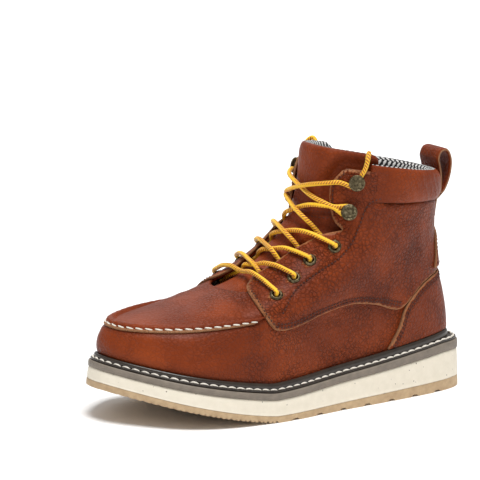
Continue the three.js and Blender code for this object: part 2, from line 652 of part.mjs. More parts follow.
// The side view of a strap that follows a path, between two shares of its length.
function ribbon(path, thick, from, to, steps) {
  const curve = new THREE.CatmullRomCurve3(path.map(([x, z]) => new THREE.Vector3(x, 0, z)), false, "centripetal");
  const one = [];
  const two = [];
  for (let k = 0; k <= steps; k += 1) {
    const share = lerp(from, to, k / steps);
    const p = curve.getPointAt(share);
    const t = curve.getTangentAt(share);
    one.push([p.x - (t.z * thick) / 2, p.z + (t.x * thick) / 2]);
    two.push([p.x + (t.z * thick) / 2, p.z - (t.x * thick) / 2]);
  }
  return [...one, ...two.reverse()];
}
const TAIL_EDGE = [[LOOP_WIDTH / BALL_WIDTH, 0.783], [0.154, 0.64]];
const tail = shell(2 * GAP + OVERLAY, 2 * GAP + OVERLAY + LOOP_THICK, 7, CUFF_LEVEL - 0.07).intersect(rearSlab(TAIL_EDGE));
const loopBands = [[0, 0.5], [0.49, 1]].map(([from, to]) =>
  slab(ribbon(LOOP_PATH, LOOP_THICK, from, to, 18), -LOOP_WIDTH / 2, LOOP_WIDTH / 2),
);
// What joins the strap's two ends to its tail, clear of the quarter.
const sewn = padFoot.x - LEATHER - GAP - 0.2;
const loopFoot = slab(
  [[-4, -6.2], [0, -6.2], [-0.3, -1.2], [-4, 0.8], [-6.4, -0.4]].map(([x, z]) => [sewn + x, padFoot.z + z]),
  -LOOP_WIDTH / 2,
  LOOP_WIDTH / 2,
);
const pullLoop = wasm.Manifold.union([tail, ...loopBands, loopFoot]);

// Hardware

const EYELET_PROFILE = [
  [EYELET_HOLE, -WALL - GAP - 0.9],
  [EYELET_BARREL + 0.6, -WALL - GAP - 0.9],
  [EYELET_BARREL + 0.6, -WALL - GAP - 0.4],
  [EYELET_BARREL, -WALL - GAP - 0.4],
  [EYELET_BARREL, LEATHER + 2 * GAP],
  [EYELET_FLANGE, LEATHER + 2 * GAP],
  [EYELET_FLANGE - 0.5, LEATHER + 1.3],
  [EYELET_HOLE, LEATHER + 1.5],
  [EYELET_HOLE, -WALL - GAP - 0.9],
];
const HOOK_PROFILE = [
  [0, -WALL - GAP - 0.9],
  [HOOK_STEM + 1.4, -WALL - GAP - 0.9],
  [HOOK_STEM + 1.4, -WALL - GAP],
  [HOOK_STEM, -WALL - GAP],
  [HOOK_STEM, LEATHER + 2 * GAP],
  [HOOK_BASE, LEATHER + 2 * GAP],
  [HOOK_BASE - 0.4, LEATHER + 1.1],
  [HOOK_NECK, LEATHER + 1.4],
  [HOOK_NECK, LEATHER + HOOK_RISE],
  [HOOK_HEAD - 0.4, LEATHER + HOOK_RISE],
  [HOOK_HEAD, LEATHER + HOOK_RISE + 0.6],
  [HOOK_HEAD - 0.5, LEATHER + HOOK_RISE + 1.5],
  [HOOK_HEAD - 1.6, LEATHER + HOOK_RISE + 1.7],
  [0, LEATHER + HOOK_RISE + 1.5],
];

// Lace: one run from the bar at the vamp up through the eyelets and round the hooks

const IN = -TONGUE_DEEP + LACE_RADIUS + 0.45; // lace centre under the facing
const OVER = LEATHER + LACE_RADIUS + 0.6; // lace centre over the facing
const CLEAR = LACE_RADIUS + 1.1; // lace centre above what lies under it
const VAMP_MARGIN = 2.5; // height above the vamp's edge up to which the lace clears it
const at = (spot, out) => off(spot.v, spot.theta, out);
const CROSS_STEPS = [0.09, 0.17, 0.25, 0.33, 0.41, 0.5, 0.59, 0.67, 0.75, 0.83, 0.91];

// The level and angle where a taut run from one spot to another lies on the boot: straight from end to end,
// and lifted out along the middle's normal to the face.
function taut(from, to, t) {
  const a = at(from, 0);
  const b = at(to, 0);
  const lift = normal(lerp(from.v, to.v, 0.5), 0).setY(0).normalize();
  const flat = new THREE.Vector3(-lift.z, 0, lift.x);
  const chord = a.clone().lerp(b, t);
  let v = lerp(from.v, to.v, t);
  let theta = lerp(from.theta, to.theta, t);
  for (let k = 0; k < 30; k += 1) {
    const p = skin(v, theta);
    const pv = skin(v + 1e-3, theta).sub(p).multiplyScalar(1e3);
    const pt = skin(v, theta + 1e-3).sub(p).multiplyScalar(1e3);
    const miss = chord.clone().sub(p);
    const m = [pv.dot(flat), pt.dot(flat), pv.y, pt.y];
    const det = m[0] * m[3] - m[1] * m[2];
    v = clamp(v + clamp((miss.dot(flat) * m[3] - miss.y * m[1]) / det, -0.3, 0.3), 0.5, 10.8);
    theta = clamp(theta + clamp((miss.y * m[0] - miss.dot(flat) * m[2]) / det, -0.15, 0.15), -1.6, 1.6);
  }
  return { v, theta };
}
// Points of that run. under: it starts under its own facing. lift: how far it is raised where two runs cross.
function across(from, to, under, lift) {
  return CROSS_STEPS.map((t) => {
    const { v, theta } = taut(from, to, t);
    const reach = Math.abs(theta) / facingTheta(v, theta < 0 ? -1 : 1);
    const leaving = t < 0.5;
    const vamp = reach < 1 && skin(v, theta).z < THROAT_FOOT + VAMP_MARGIN;
    const low = (vamp ? 0 : tongueOut(v, theta)) + CLEAR;
    const high = lerp(tongueOut(v, 0) + CLEAR, OVER + 1.2 * smooth(reach - 1), smooth(reach / 0.95));
    const out = leaving && under ? Math.max(IN, low) : Math.max(low, high);
    return off(v, theta, out + lift * smooth(1 - Math.abs(2 * t - 1) * 1.4));
  });
}
const laceParts = [];
const near = spots.lateral;
const far = spots.medial;
const bar = [
  at(far.eyelets[0], 0),
  at(far.eyelets[0], 1.8),
  at(far.eyelets[0], 3.5),
  at(far.eyelets[0], OVER + 1.6),
  ...across(far.eyelets[0], near.eyelets[0], false, 1.2),
  at(near.eyelets[0], OVER + 1.6),
  at(near.eyelets[0], 3.5),
  at(near.eyelets[0], 1.8),
  at(near.eyelets[0], 0),
];
laceParts.push(tube(bar, LACE_RADIUS, 14));
const CROSS_LIFT = LACE_DIAMETER - 0.4;
// From inside one eyelet, out past its facing's edge, over the other facing to the next eyelet.
const crossing = (from, to, lift) => [
  at(from, 0.2),
  at(from, -1.6),
  at(from, -3.4),
  at(from, IN + 0.6),
  ...across(from, to, true, lift),
  at(to, OVER + 1.6),
  at(to, 3.5),
  at(to, 1.6),
  at(to, -0.2),
];
for (let n = 0; n < 3; n += 1) {
  laceParts.push(tube(crossing(near.eyelets[n], far.eyelets[n + 1], CROSS_LIFT), LACE_RADIUS, 21));
  laceParts.push(tube(crossing(far.eyelets[n], near.eyelets[n + 1], 0), LACE_RADIUS, 21));
}
const HOOK_OUT = LEATHER + 1.4 + LACE_RADIUS + 0.25;
const WRAP = HOOK_NECK + LACE_RADIUS + 0.3;
// Points round a hook's neck, from angle a0 to a1 in the plane of the leather, 0 pointing away from the throat.
function wrap(spot, a0, a1, count) {
  const n = normal(spot.v, spot.theta);
  const away = off(spot.v, spot.theta + 0.05 * Math.sign(spot.theta), 0).sub(skin(spot.v, spot.theta));
  away.addScaledVector(n, -away.dot(n)).normalize();
  const up = new THREE.Vector3(0, 0, 1);
  up.addScaledVector(n, -up.dot(n)).addScaledVector(away, -up.dot(away)).normalize();
  return Array.from({ length: count }, (_, k) => {
    const phi = lerp(a0, a1, k / (count - 1));
    return at(spot, HOOK_OUT)
      .addScaledVector(away, WRAP * Math.cos(phi))
      .addScaledVector(up, WRAP * Math.sin(phi));
  });
}
const climb = (eyelet, hook, next, lift) => [
  at(eyelet, 0.2),
  at(eyelet, -1.6),
  at(eyelet, -3.4),
  at(eyelet, IN + 0.6),
  ...across(eyelet, hook, true, lift),
  ...wrap(hook, -1.6, 1.5, 5),
  ...across(hook, next, false, lift + 0.6),
  ...wrap(next, -1.6, 0.9, 4),
];
const climbs = {
  lateral: climb(near.eyelets[3], far.hooks[0], near.hooks[1], CROSS_LIFT),
  medial: climb(far.eyelets[3], near.hooks[0], far.hooks[1], 0),
};
for (const path of Object.values(climbs)) laceParts.push(tube(path, LACE_RADIUS, 48));
const laces = wasm.Manifold.union(laceParts);

// Ends of the lace, from the top hooks over the collar's edge and down inside
function laceEnd(name, side) {
  const hook = spots[name].hooks[1];
  const path = climbs[name];
  const tip = path[path.length - 1];
  const before = path[path.length - 2];
  const start = tip.clone().addScaledVector(tip.clone().sub(before).normalize(), GAP + 1);
  return [
    start,
    off(9.95, hook.theta + side * 0.1, OVER + 0.6),
    off(10.25, hook.theta + side * 0.12, OVER - 0.8),
    off(10.4, hook.theta + side * 0.14, -0.5),
    off(10.2, hook.theta + side * 0.15, -WALL - LACE_RADIUS - 0.9),
  ];
}
const laceEnds = SIDES.map(([name, side]) => [name, tube(laceEnd(name, side), LACE_RADIUS, 12)]);

// All pieces, named, and set with the middle of their footprint at the origin

const MATERIALS = {
  leather: 0x8a4a2c, edge: 0xc09468, welt: 0x4a3f38, ledge: 0x8d857c, midsole: 0xe8e2d2,
  outsole: 0xb59a72, brass: 0x6d5d45, lace: 0xe0a92e, board: 0xc8b79a,
};
const pieces = [
  ["outsole", outsole, "outsole"],
  ["midsole", midsole, "midsole"],
  ["ledge", ledge, "ledge"],
  ["storm_welt", stormWelt, "welt"],
  ["insole", insole, "board"],
  ["upper", upper, "leather"],
  ["apron_seam", apronSeam, "edge"],
  ...quarters.map(([name, solid]) => ["quarter_" + name, solid, "leather"]),
  ["counter", counter, "leather"],
  ["backstay", backstay, "leather"],
  ["cuff", cuff, "leather"],
  ["tongue", tongue, "leather"],
  ["pull_loop", pullLoop, "leather"],
  ...SIDES.flatMap(([name]) => [
    ...spots[name].eyelets.map((s, i) => ["eyelet_" + name + "_" + (i + 1), turned(EYELET_PROFILE, s), "brass"]),
    ...spots[name].hooks.map((s, i) => ["hook_" + name + "_" + (i + 1), turned(HOOK_PROFILE, s), "brass"]),
  ]),
  ["laces", laces, "lace"],
  ...laceEnds.map(([name, solid]) => ["lace_end_" + name, solid, "lace"]),
];
const group = new THREE.Group();
for (const [name, solid, material] of pieces) {
  const m = solid.getMesh();
  const geometry = new THREE.BufferGeometry();
  geometry.setAttribute("position", new THREE.BufferAttribute(new Float32Array(m.vertProperties), 3));
  geometry.setIndex(new THREE.BufferAttribute(new Uint32Array(m.triVerts), 1));
  const mesh = new THREE.Mesh(geometry, new THREE.MeshStandardMaterial({ color: MATERIALS[material] }));
  mesh.name = name;
  group.add(mesh);
}
const box = new THREE.Box3().setFromObject(group);
const middle = box.getCenter(new THREE.Vector3());
group.position.set(-middle.x, -middle.y, -box.min.z);

export default group;
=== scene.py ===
# Moc toe work boot, left foot: the visual model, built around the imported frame.
# Lengths are millimetres in the boot's own frame (heel at x = 0, ground at z = 0) until to_row() turns them.
import math

import bmesh
import bpy
import numpy as np
from mathutils import Matrix, Vector
from mathutils.geometry import delaunay_2d_cdt


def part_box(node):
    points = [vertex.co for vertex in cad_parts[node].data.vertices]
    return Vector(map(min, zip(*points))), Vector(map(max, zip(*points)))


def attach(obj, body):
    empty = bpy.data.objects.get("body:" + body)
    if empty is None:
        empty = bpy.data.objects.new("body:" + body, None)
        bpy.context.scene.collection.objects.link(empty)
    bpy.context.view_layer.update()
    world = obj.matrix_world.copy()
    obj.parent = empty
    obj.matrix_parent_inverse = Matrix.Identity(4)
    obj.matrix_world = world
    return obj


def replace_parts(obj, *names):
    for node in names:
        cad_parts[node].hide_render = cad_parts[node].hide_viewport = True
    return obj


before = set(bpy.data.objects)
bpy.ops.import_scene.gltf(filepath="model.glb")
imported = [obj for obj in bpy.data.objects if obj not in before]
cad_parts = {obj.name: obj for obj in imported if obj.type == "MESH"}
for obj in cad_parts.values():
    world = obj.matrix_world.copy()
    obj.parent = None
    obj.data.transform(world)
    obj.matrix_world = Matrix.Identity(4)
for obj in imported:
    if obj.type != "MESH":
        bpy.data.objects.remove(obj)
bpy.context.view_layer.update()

BODY = "root"

# Sizes of the frame's solids
SOLE_LENGTH = 312
BALL_WIDTH = 117
SHAFT_HEIGHT = 150
TOE_SPRING = 25
GAP = 0.3
SEAT_GAP = 0.5
HEEL_STACK = 36.5
BALL_STACK = 21.5
TOE_STACK = 19
OUTSOLE_HEEL = 8.5
OUTSOLE_FORE = 5
LEDGE_HEEL = 7
LEDGE_FORE = 5
SOLE_FLARE = 1.5
LAYER_STEP = 0.5
LUG_PITCH = 24.5
LUG_GROOVE = 8
LUG_GROOVE_DEPTH = 1.6
LUG_RUN = (32, 190)
RIB_PITCH = 8
RIB_GROOVE = 3
RIB_GROOVE_DEPTH = 1.6
RIB_RUN = (197, 300)
FLANGE_THICK = 1.6
BEAD_WIDTH = 3.4
WELT_SETBACK = 1.4
WALL = 2.2
OVERLAY = 1.8
COUNTER_THICK = 2.3
BACKSTAY_THICK = 1.6
SEAM_LEVEL = 3
SEAM_CLIMB = 0.7
SEAM_SPAN = 0.3
SEAM_HEIGHT = 3
SEAM_END = SOLE_LENGTH * 0.676
CUFF_LEVEL = 9.13
COLLAR_LEVEL = 9.85
CUFF_FRONT = SOLE_LENGTH * 0.343
PAD_SINK = 0.5   # how far the pad's ends start below the quarters' faces
PAD_TUCK = 0.14  # radians that the quarters run on under it
CUFF_OUT = 5.6
CUFF_IN = 5.5
TONGUE_THICK = 4.5
TONGUE_ROOF = 2
TONGUE_DEEP = 7.4
TONGUE_LEVELS = (5.35, 10.33)
INSOLE_THICK = 4
LOOP_WIDTH = 24
LOOP_THICK = 2.4
LOOP_RISE = 34
LOOP_DEPTH = 9
EYELET_HOLE = 2.7
EYELET_BARREL = 3.2
EYELET_FLANGE = 4.9
HOOK_STEM = 1.9
HOOK_NECK = 2.2
HOOK_BASE = 4.6
HOOK_HEAD = 6.2
HOOK_RISE = 5.4
LACE_DIAMETER = 3.4
LACE_RADIUS = LACE_DIAMETER / 2
HALF = BALL_WIDTH / 2
SPRING_START = 0.625
SPRING_POWER = 1.25
LEATHER = GAP + OVERLAY
THROAT_LEVEL = 5.6
FACING_BACKING = 0.085
VAMP_MARGIN = 2.5


def smooth(t):
    t = np.clip(t, 0, 1)
    return t * t * (3 - 2 * t)


def lerp(a, b, t):
    return a + (b - a) * t


def ring_angles(count):
    return np.linspace(0, 2 * np.pi, count, endpoint=False)


# Curves through values

def spline(values, i):
    """A smooth value through evenly spaced ones."""
    values = np.asarray(values, float)
    last = len(values) - 1
    k = np.clip(np.floor(i).astype(int), 0, last - 1)
    t = i - k
    p1 = values[k]
    p2 = values[k + 1]
    p0 = np.where(k > 0, values[np.maximum(k - 1, 0)], 2 * p1 - p2)
    p3 = np.where(k + 2 <= last, values[np.minimum(k + 2, last)], 2 * p2 - p1)
    m1 = (p2 - p0) / 2
    m2 = (p3 - p1) / 2
    return (
        (2 * t ** 3 - 3 * t ** 2 + 1) * p1
        + (t ** 3 - 2 * t ** 2 + t) * m1
        + (3 * t ** 2 - 2 * t ** 3) * p2
        + (t ** 3 - t ** 2) * m2
    )


def through(stations, values, at):
    """A smooth value through ones at uneven stations, which never overshoots them."""
    at = np.asarray(at, float)
    flat = at.ravel()
    stations = np.asarray(stations, float)
    table = np.stack([np.broadcast_to(np.asarray(v, float).ravel(), flat.shape) for v in values])
    h = np.diff(stations)[:, None]
    slope = np.diff(table, axis=0) / h
    product = slope[:-1] * slope[1:]
    total = slope[:-1] + slope[1:]
    inner = np.where(product > 0, 2 * product / np.where(total == 0, 1, total), 0)
    tangent = np.vstack([slope[:1], inner, slope[-1:]])
    flat = np.clip(flat, stations[0], stations[-1])
    k = np.clip(np.searchsorted(stations, flat, side="right") - 1, 0, len(stations) - 2)
    n = np.arange(flat.size)
    step = h[k, 0]
    t = (flat - stations[k]) / step
    value = (
        (2 * t ** 3 - 3 * t ** 2 + 1) * table[k, n]
        + (t ** 3 - 2 * t ** 2 + t) * step * tangent[k, n]
        + (3 * t ** 2 - 2 * t ** 3) * table[k + 1, n]
        + (t ** 3 - t ** 2) * step * tangent[k + 1, n]
    )
    return value.reshape(at.shape)


def curve(points, spacing, closed=False):
    """Evenly spaced points on a centripetal Catmull-Rom curve, and their distances along it."""
    p = np.asarray(points, float)
    if closed:
        p = np.vstack([p[-1], p, p[0], p[1]])
    else:
        p = np.vstack([2 * p[0] - p[1], p, 2 * p[-1] - p[-2]])
    pieces = []
    for a, b, c, d in zip(p[:-3], p[1:-2], p[2:-1], p[3:]):
        ta = 0.0
        tb = ta + max(np.linalg.norm(b - a), 1e-9) ** 0.5
        tc = tb + max(np.linalg.norm(c - b), 1e-9) ** 0.5
        td = tc + max(np.linalg.norm(d - c), 1e-9) ** 0.5
        t = np.linspace(tb, tc, 24, endpoint=False)[:, None]
        ab = (tb - t) / (tb - ta) * a + (t - ta) / (tb - ta) * b
        bc = (tc - t) / (tc - tb) * b + (t - tb) / (tc - tb) * c
        cd = (td - t) / (td - tc) * c + (t - tc) / (td - tc) * d
        abc = (tc - t) / (tc - ta) * ab + (t - ta) / (tc - ta) * bc
        bcd = (td - t) / (td - tb) * bc + (t - tb) / (td - tb) * cd
        pieces.append((tc - t) / (tc - tb) * abc + (t - tb) / (tc - tb) * bcd)
    pieces.append(p[-2:-1])
    return evenly(np.vstack(pieces), spacing)


def distances(line):
    """How far along a line each of its points lies."""
    return np.concatenate([[0], np.cumsum(np.linalg.norm(np.diff(line, axis=0), axis=1))])


def evenly(line, spacing):
    """A polyline walked in even steps."""
    line = np.asarray(line, float)
    run = distances(line)
    count = max(2, int(round(run[-1] / spacing)) + 1)
    at = np.linspace(0, run[-1], count)
    return np.stack([np.interp(at, run, line[:, c]) for c in range(line.shape[1])], 1)


# The sole's profile

STACK_STATIONS = (0.08, 0.36, 0.66, 1)
STACK_FALL = (0, 0.6, 1, 1)


def sole_bottom(x):
    t = np.clip((x / SOLE_LENGTH - SPRING_START) / (1 - SPRING_START), 0, 1)
    return TOE_SPRING * t ** SPRING_POWER


def sole_top(x):
    share = x / SOLE_LENGTH
    stack = lerp(HEEL_STACK, BALL_STACK, through(STACK_STATIONS, STACK_FALL, share))
    return sole_bottom(x) + stack + (TOE_STACK - BALL_STACK) * smooth((share - 0.66) / 0.34)


def outsole_top(x):
    return sole_bottom(x) + lerp(OUTSOLE_HEEL, OUTSOLE_FORE, smooth(x / SOLE_LENGTH / 0.62))


def ledge_bottom(x):
    return sole_top(x) - lerp(LEDGE_HEEL, LEDGE_FORE, smooth(x / SOLE_LENGTH / 0.5))


# The sections of the upper, as in the frame's source

PLACES = (0, 0.14, 0.36, 0.62, 0.86, 1)
WIDTHS = ("tip", "toe", "ball", "waist", "heel", "end")
SECTION_COLUMNS = ("frontX", "frontRise", "follow", "backX", "backRise", "sag") + WIDTHS + ("camber",)
SECTION_ROWS = (
    (0.97, 0.003, 1.0, 0.04, 0.003, 1.0, 0.8, 1.05, 0.88, 0.63, 0.57, 0.59, 0.2),
    (0.982, 0.067, 1.0, 0.043, 0.085, 1.0, 0.84, 1.09, 0.89, 0.64, 0.59, 0.62, 0.2),
    (0.975, 0.14, 1.0, 0.048, 0.17, 0.8, 0.83, 1.05, 0.87, 0.65, 0.61, 0.61, 0.2),
    (0.95, 0.197, 1.0, 0.058, 0.262, 0.35, 0.78, 0.97, 0.83, 0.65, 0.61, 0.59, 0.19),
    (0.85, 0.256, 0.6, 0.07, 0.345, 0.18, 0.8, 0.88, 0.81, 0.65, 0.59, 0.57, 0.17),
    (0.735, 0.319, 0.3, 0.079, 0.43, 0.08, 0.82, 0.84, 0.79, 0.65, 0.58, 0.55, 0.13),
    (0.635, 0.395, 0.1, 0.087, 0.515, 0, 0.8, 0.8, 0.75, 0.64, 0.57, 0.54, 0.09),
    (0.545, 0.517, 0, 0.091, 0.59, 0, 0.72, 0.72, 0.7, 0.64, 0.57, 0.53, 0.06),
    (0.485, 0.655, 0, 0.094, 0.66, 0, 0.66, 0.67, 0.67, 0.64, 0.58, 0.54, 0.04),
    (0.458, 0.79, 0, 0.096, 0.735, 0, 0.64, 0.66, 0.68, 0.66, 0.6, 0.57, 0.02),
    (0.445, 1.0, 0, 0.097, 0.885, 0, 0.65, 0.68, 0.7, 0.69, 0.63, 0.59, 0.01),
    (0.43, 1.16, 0, 0.1, 1.0, 0, 0.67, 0.7, 0.72, 0.71, 0.65, 0.61, 0.01),
)
COLUMN = {name: [row[c] for row in SECTION_ROWS] for c, name in enumerate(SECTION_COLUMNS)}
SOLE_OUTLINE = {
    "tip": 0.86, "toe": 1.21, "ball": 1.0, "waist": 0.74, "heel": 0.67, "end": 0.67, "camber": 0.22,
}
ROUNDING_FRONT = 0.8
ROUNDING_BACK = 0.66
FEATHER_FRONT = SECTION_ROWS[0][0] * SOLE_LENGTH
FEATHER_BACK = SECTION_ROWS[0][3] * SOLE_LENGTH
TOE_SEAT = float(sole_top(np.array(FEATHER_FRONT)))


def sole_dip(x):
    share = np.clip((x - FEATHER_BACK) / (FEATHER_FRONT - FEATHER_BACK), 0, 1)
    return sole_top(x) - lerp(HEEL_STACK, TOE_SEAT, share)


def bulge(theta, a):
    """How a section closes at its two ends: fuller at the heel than at the toe."""
    s = np.sin(theta)
    return np.sign(s) * np.abs(s) ** lerp(ROUNDING_FRONT, ROUNDING_BACK, smooth((a - 0.3) / 0.5))


def sideways(w, theta):
    """How far to the side an outline lies at angle theta: 0 at its front, pi at its back."""
    a = (1 - np.cos(theta)) / 2
    width = through(PLACES, [w[name] for name in WIDTHS], a) * HALF
    return width * bulge(theta, a) - w["camber"] * HALF * np.clip(1 - 2 * a, 0, 1) ** 2


def skin(v, theta):
    """A point of the upper's outer face at section level v."""
    v, theta = np.broadcast_arrays(np.asarray(v, float), np.asarray(theta, float))
    s = {name: spline(COLUMN[name], v) for name in SECTION_COLUMNS}
    a = (1 - np.cos(theta)) / 2
    x = lerp(s["frontX"], s["backX"], a) * SOLE_LENGTH
    front = lerp(HEEL_STACK, TOE_SEAT, s["follow"]) + s["frontRise"] * SHAFT_HEIGHT
    back = HEEL_STACK + s["backRise"] * SHAFT_HEIGHT
    return np.stack([x, sideways(s, theta), lerp(front, back, a) + s["sag"] * sole_dip(x)], -1)


def unit(a):
    return a / np.maximum(np.linalg.norm(a, axis=-1, keepdims=True), 1e-9)


def normal(v, theta):
    d = 0.02
    up = skin(v + d, theta) - skin(v - d, theta)
    return unit(np.cross(skin(v, theta + d) - skin(v, theta - d), up))


def off(v, theta, out):
    v, theta = np.broadcast_arrays(np.asarray(v, float), np.asarray(theta, float))
    return skin(v, theta) + normal(v, theta) * np.asarray(out, float)[..., None]


def slopes(v, theta):
    """A point of the skin, and how it moves with its level and with its angle."""
    p = skin(v, theta)
    return p, (skin(v + 1e-3, theta) - p) * 1e3, (skin(v, theta + 1e-3) - p) * 1e3


def locate(points, side):
    """The level and angle where the outer face shows at each (x, z) of the side view."""
    target = np.asarray(points, float)
    v = np.full(len(target), 6.0)
    theta = np.full(len(target), 0.9)
    for _ in range(40):
        p, pv, pt = slopes(v, theta)
        det = pv[:, 0] * pt[:, 2] - pt[:, 0] * pv[:, 2]
        ex = target[:, 0] - p[:, 0]
        ez = target[:, 1] - p[:, 2]
        v = np.clip(v + np.clip((ex * pt[:, 2] - ez * pt[:, 0]) / det, -0.8, 0.8), 0.02, 10.9)
        theta = np.clip(theta + np.clip((pv[:, 0] * ez - pv[:, 2] * ex) / det, -0.3, 0.3), 0.05, 3.1)
    return np.stack([v, theta * side], 1)


def level_at(z, theta):
    """The level at which the face at angle theta is z high."""
    levels = np.linspace(0, 10.9, 400)
    return float(np.interp(z, skin(levels, theta)[:, 2], levels))


def outline(theta, out):
    a = (1 - np.cos(theta)) / 2
    x = SOLE_LENGTH * (1 - a) + out * np.cos(theta)
    return x, sideways(SOLE_OUTLINE, theta) + out * bulge(theta, a)


# From the boot's millimetres to the frame's metres

def frame_shift():
    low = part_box("outsole")[0]
    theta = np.linspace(0, 2 * np.pi, 721)
    _, y = outline(theta, SOLE_FLARE)
    return np.array([low[0] * 1000 + SOLE_FLARE, low[1] * 1000 - y.min(), 0])


SHIFT = frame_shift()


def to_row(points):
    return (np.asarray(points, float) + SHIFT) / 1000


# Meshes

def grid(rows, columns, close=False):
    last = columns if close else columns - 1
    i, j = np.meshgrid(np.arange(rows - 1), np.arange(last), indexing="ij")
    k = (j + 1) % columns
    low = i * columns
    high = low + columns
    return np.stack([low + j, low + k, high + k, high + j], -1).reshape(-1, 4)


def end_faces(rows, columns):
    """The two faces that close a tube of rows of points."""
    return [list(range(columns)), list(range((rows - 1) * columns, rows * columns))]


def placed(name, data):
    """A new object in the scene."""
    thing = bpy.data.objects.new(name, data)
    bpy.context.scene.collection.objects.link(thing)
    return thing


def make(name, points, faces, materials, marks=None, uv=None, values=None, weld=False):
    """A smooth-shaded piece from points and faces, which rides on the boot and stands for nothing yet."""
    mesh = bpy.data.meshes.new(name)
    mesh.from_pydata(to_row(points).tolist(), [], [list(map(int, f)) for f in faces])
    for material in materials:
        mesh.materials.append(material)
    if marks is not None:
        mesh.polygons.foreach_set("material_index", np.asarray(marks, dtype=np.int32))
    mesh.polygons.foreach_set("use_smooth", [True] * len(mesh.polygons))
    if uv is not None:
        corner = np.empty(len(mesh.loops), dtype=np.int32)
        mesh.loops.foreach_get("vertex_index", corner)
        layer = mesh.uv_layers.new(name="UVMap")
        layer.data.foreach_set("uv", np.asarray(uv, dtype=np.float32)[corner].ravel())
    for key, numbers in (values or {}).items():
        layer = mesh.attributes.new(key, "FLOAT", "POINT")
        layer.data.foreach_set("value", np.asarray(numbers, dtype=np.float32))
    work = bmesh.new()
    work.from_mesh(mesh)
    if weld:
        bmesh.ops.remove_doubles(work, verts=work.verts, dist=2e-6)
    bmesh.ops.recalc_face_normals(work, faces=work.faces)
    work.to_mesh(mesh)
    work.free()
    piece = placed(name, mesh)
    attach(piece, BODY)
    return piece


# Stitches: pitch, length and radius of the thread
WELT_STITCH = (7.4, 6.6, 0.86)
APRON_STITCH = (7.2, 5.4, 0.66)
BROWN_STITCH = (3.0, 1.9, 0.5)
FINE_STITCH = (2.9, 2.2, 0.3)
STITCH_SINK = 0.35  # share of the radius that a stitch's ends lie below the leather


def gap_to(points, line, chunk=4000):
    """The distance from each point to the nearest point of a line."""
    found = np.empty(len(points))
    for k in range(0, len(points), chunk):
        some = points[k:k + chunk]
        found[k:k + chunk] = np.sqrt(((some[:, None, :] - line[None, :, :]) ** 2).sum(-1)).min(1)
    return found


def thread(name, lines, size, material, slant=0, sides=6):
    """Stitches along lines of (points, normals), as short arched threads in one mesh."""
    pitch, length, radius = size
    stations = 7
    t = np.linspace(0, 1, stations)
    phi = ring_angles(sides)
    points = []
    faces = []
    for line, normals in lines:
        run = distances(line)
        count = max(1, int(run[-1] / pitch))
        pace = run[-1] / count
        for k in range(count):
            at = pace * (k + 0.5) + (t - 0.5) * length
            p = np.stack([np.interp(at, run, line[:, c]) for c in range(3)], 1)
            n = unit(np.stack([np.interp(at, run, normals[:, c]) for c in range(3)], 1))
            along = unit(np.gradient(p, axis=0))
            across = unit(np.cross(along, n))
            bow = np.sin(np.pi * t) ** 0.6
            p = p + n * (radius * (bow - STITCH_SINK))[:, None] + across * ((t - 0.5) * slant)[:, None]
            thick = radius * (0.3 + 0.7 * np.sin(np.pi * np.clip(t, 0.08, 0.92)) ** 0.4)
            ring = (
                p[:, None, :]
                + thick[:, None, None] * np.cos(phi)[None, :, None] * across[:, None, :]
                + thick[:, None, None] * np.sin(phi)[None, :, None] * n[:, None, :]
            )
            base = len(points) * stations * sides
            points.append(ring.reshape(-1, 3))
            faces.extend((grid(stations, sides, True) + base).tolist())
            faces.extend([i + base for i in face] for face in end_faces(stations, sides))
    return make(name, np.vstack(points), faces, [material])


# Materials

def tint(red, green, blue):
    """A colour from sRGB parts of 255."""
    def linear(c):
        c = c / 255
        return c / 12.92 if c <= 0.04045 else ((c + 0.055) / 1.055) ** 2.4
    return (linear(red), linear(green), linear(blue), 1)


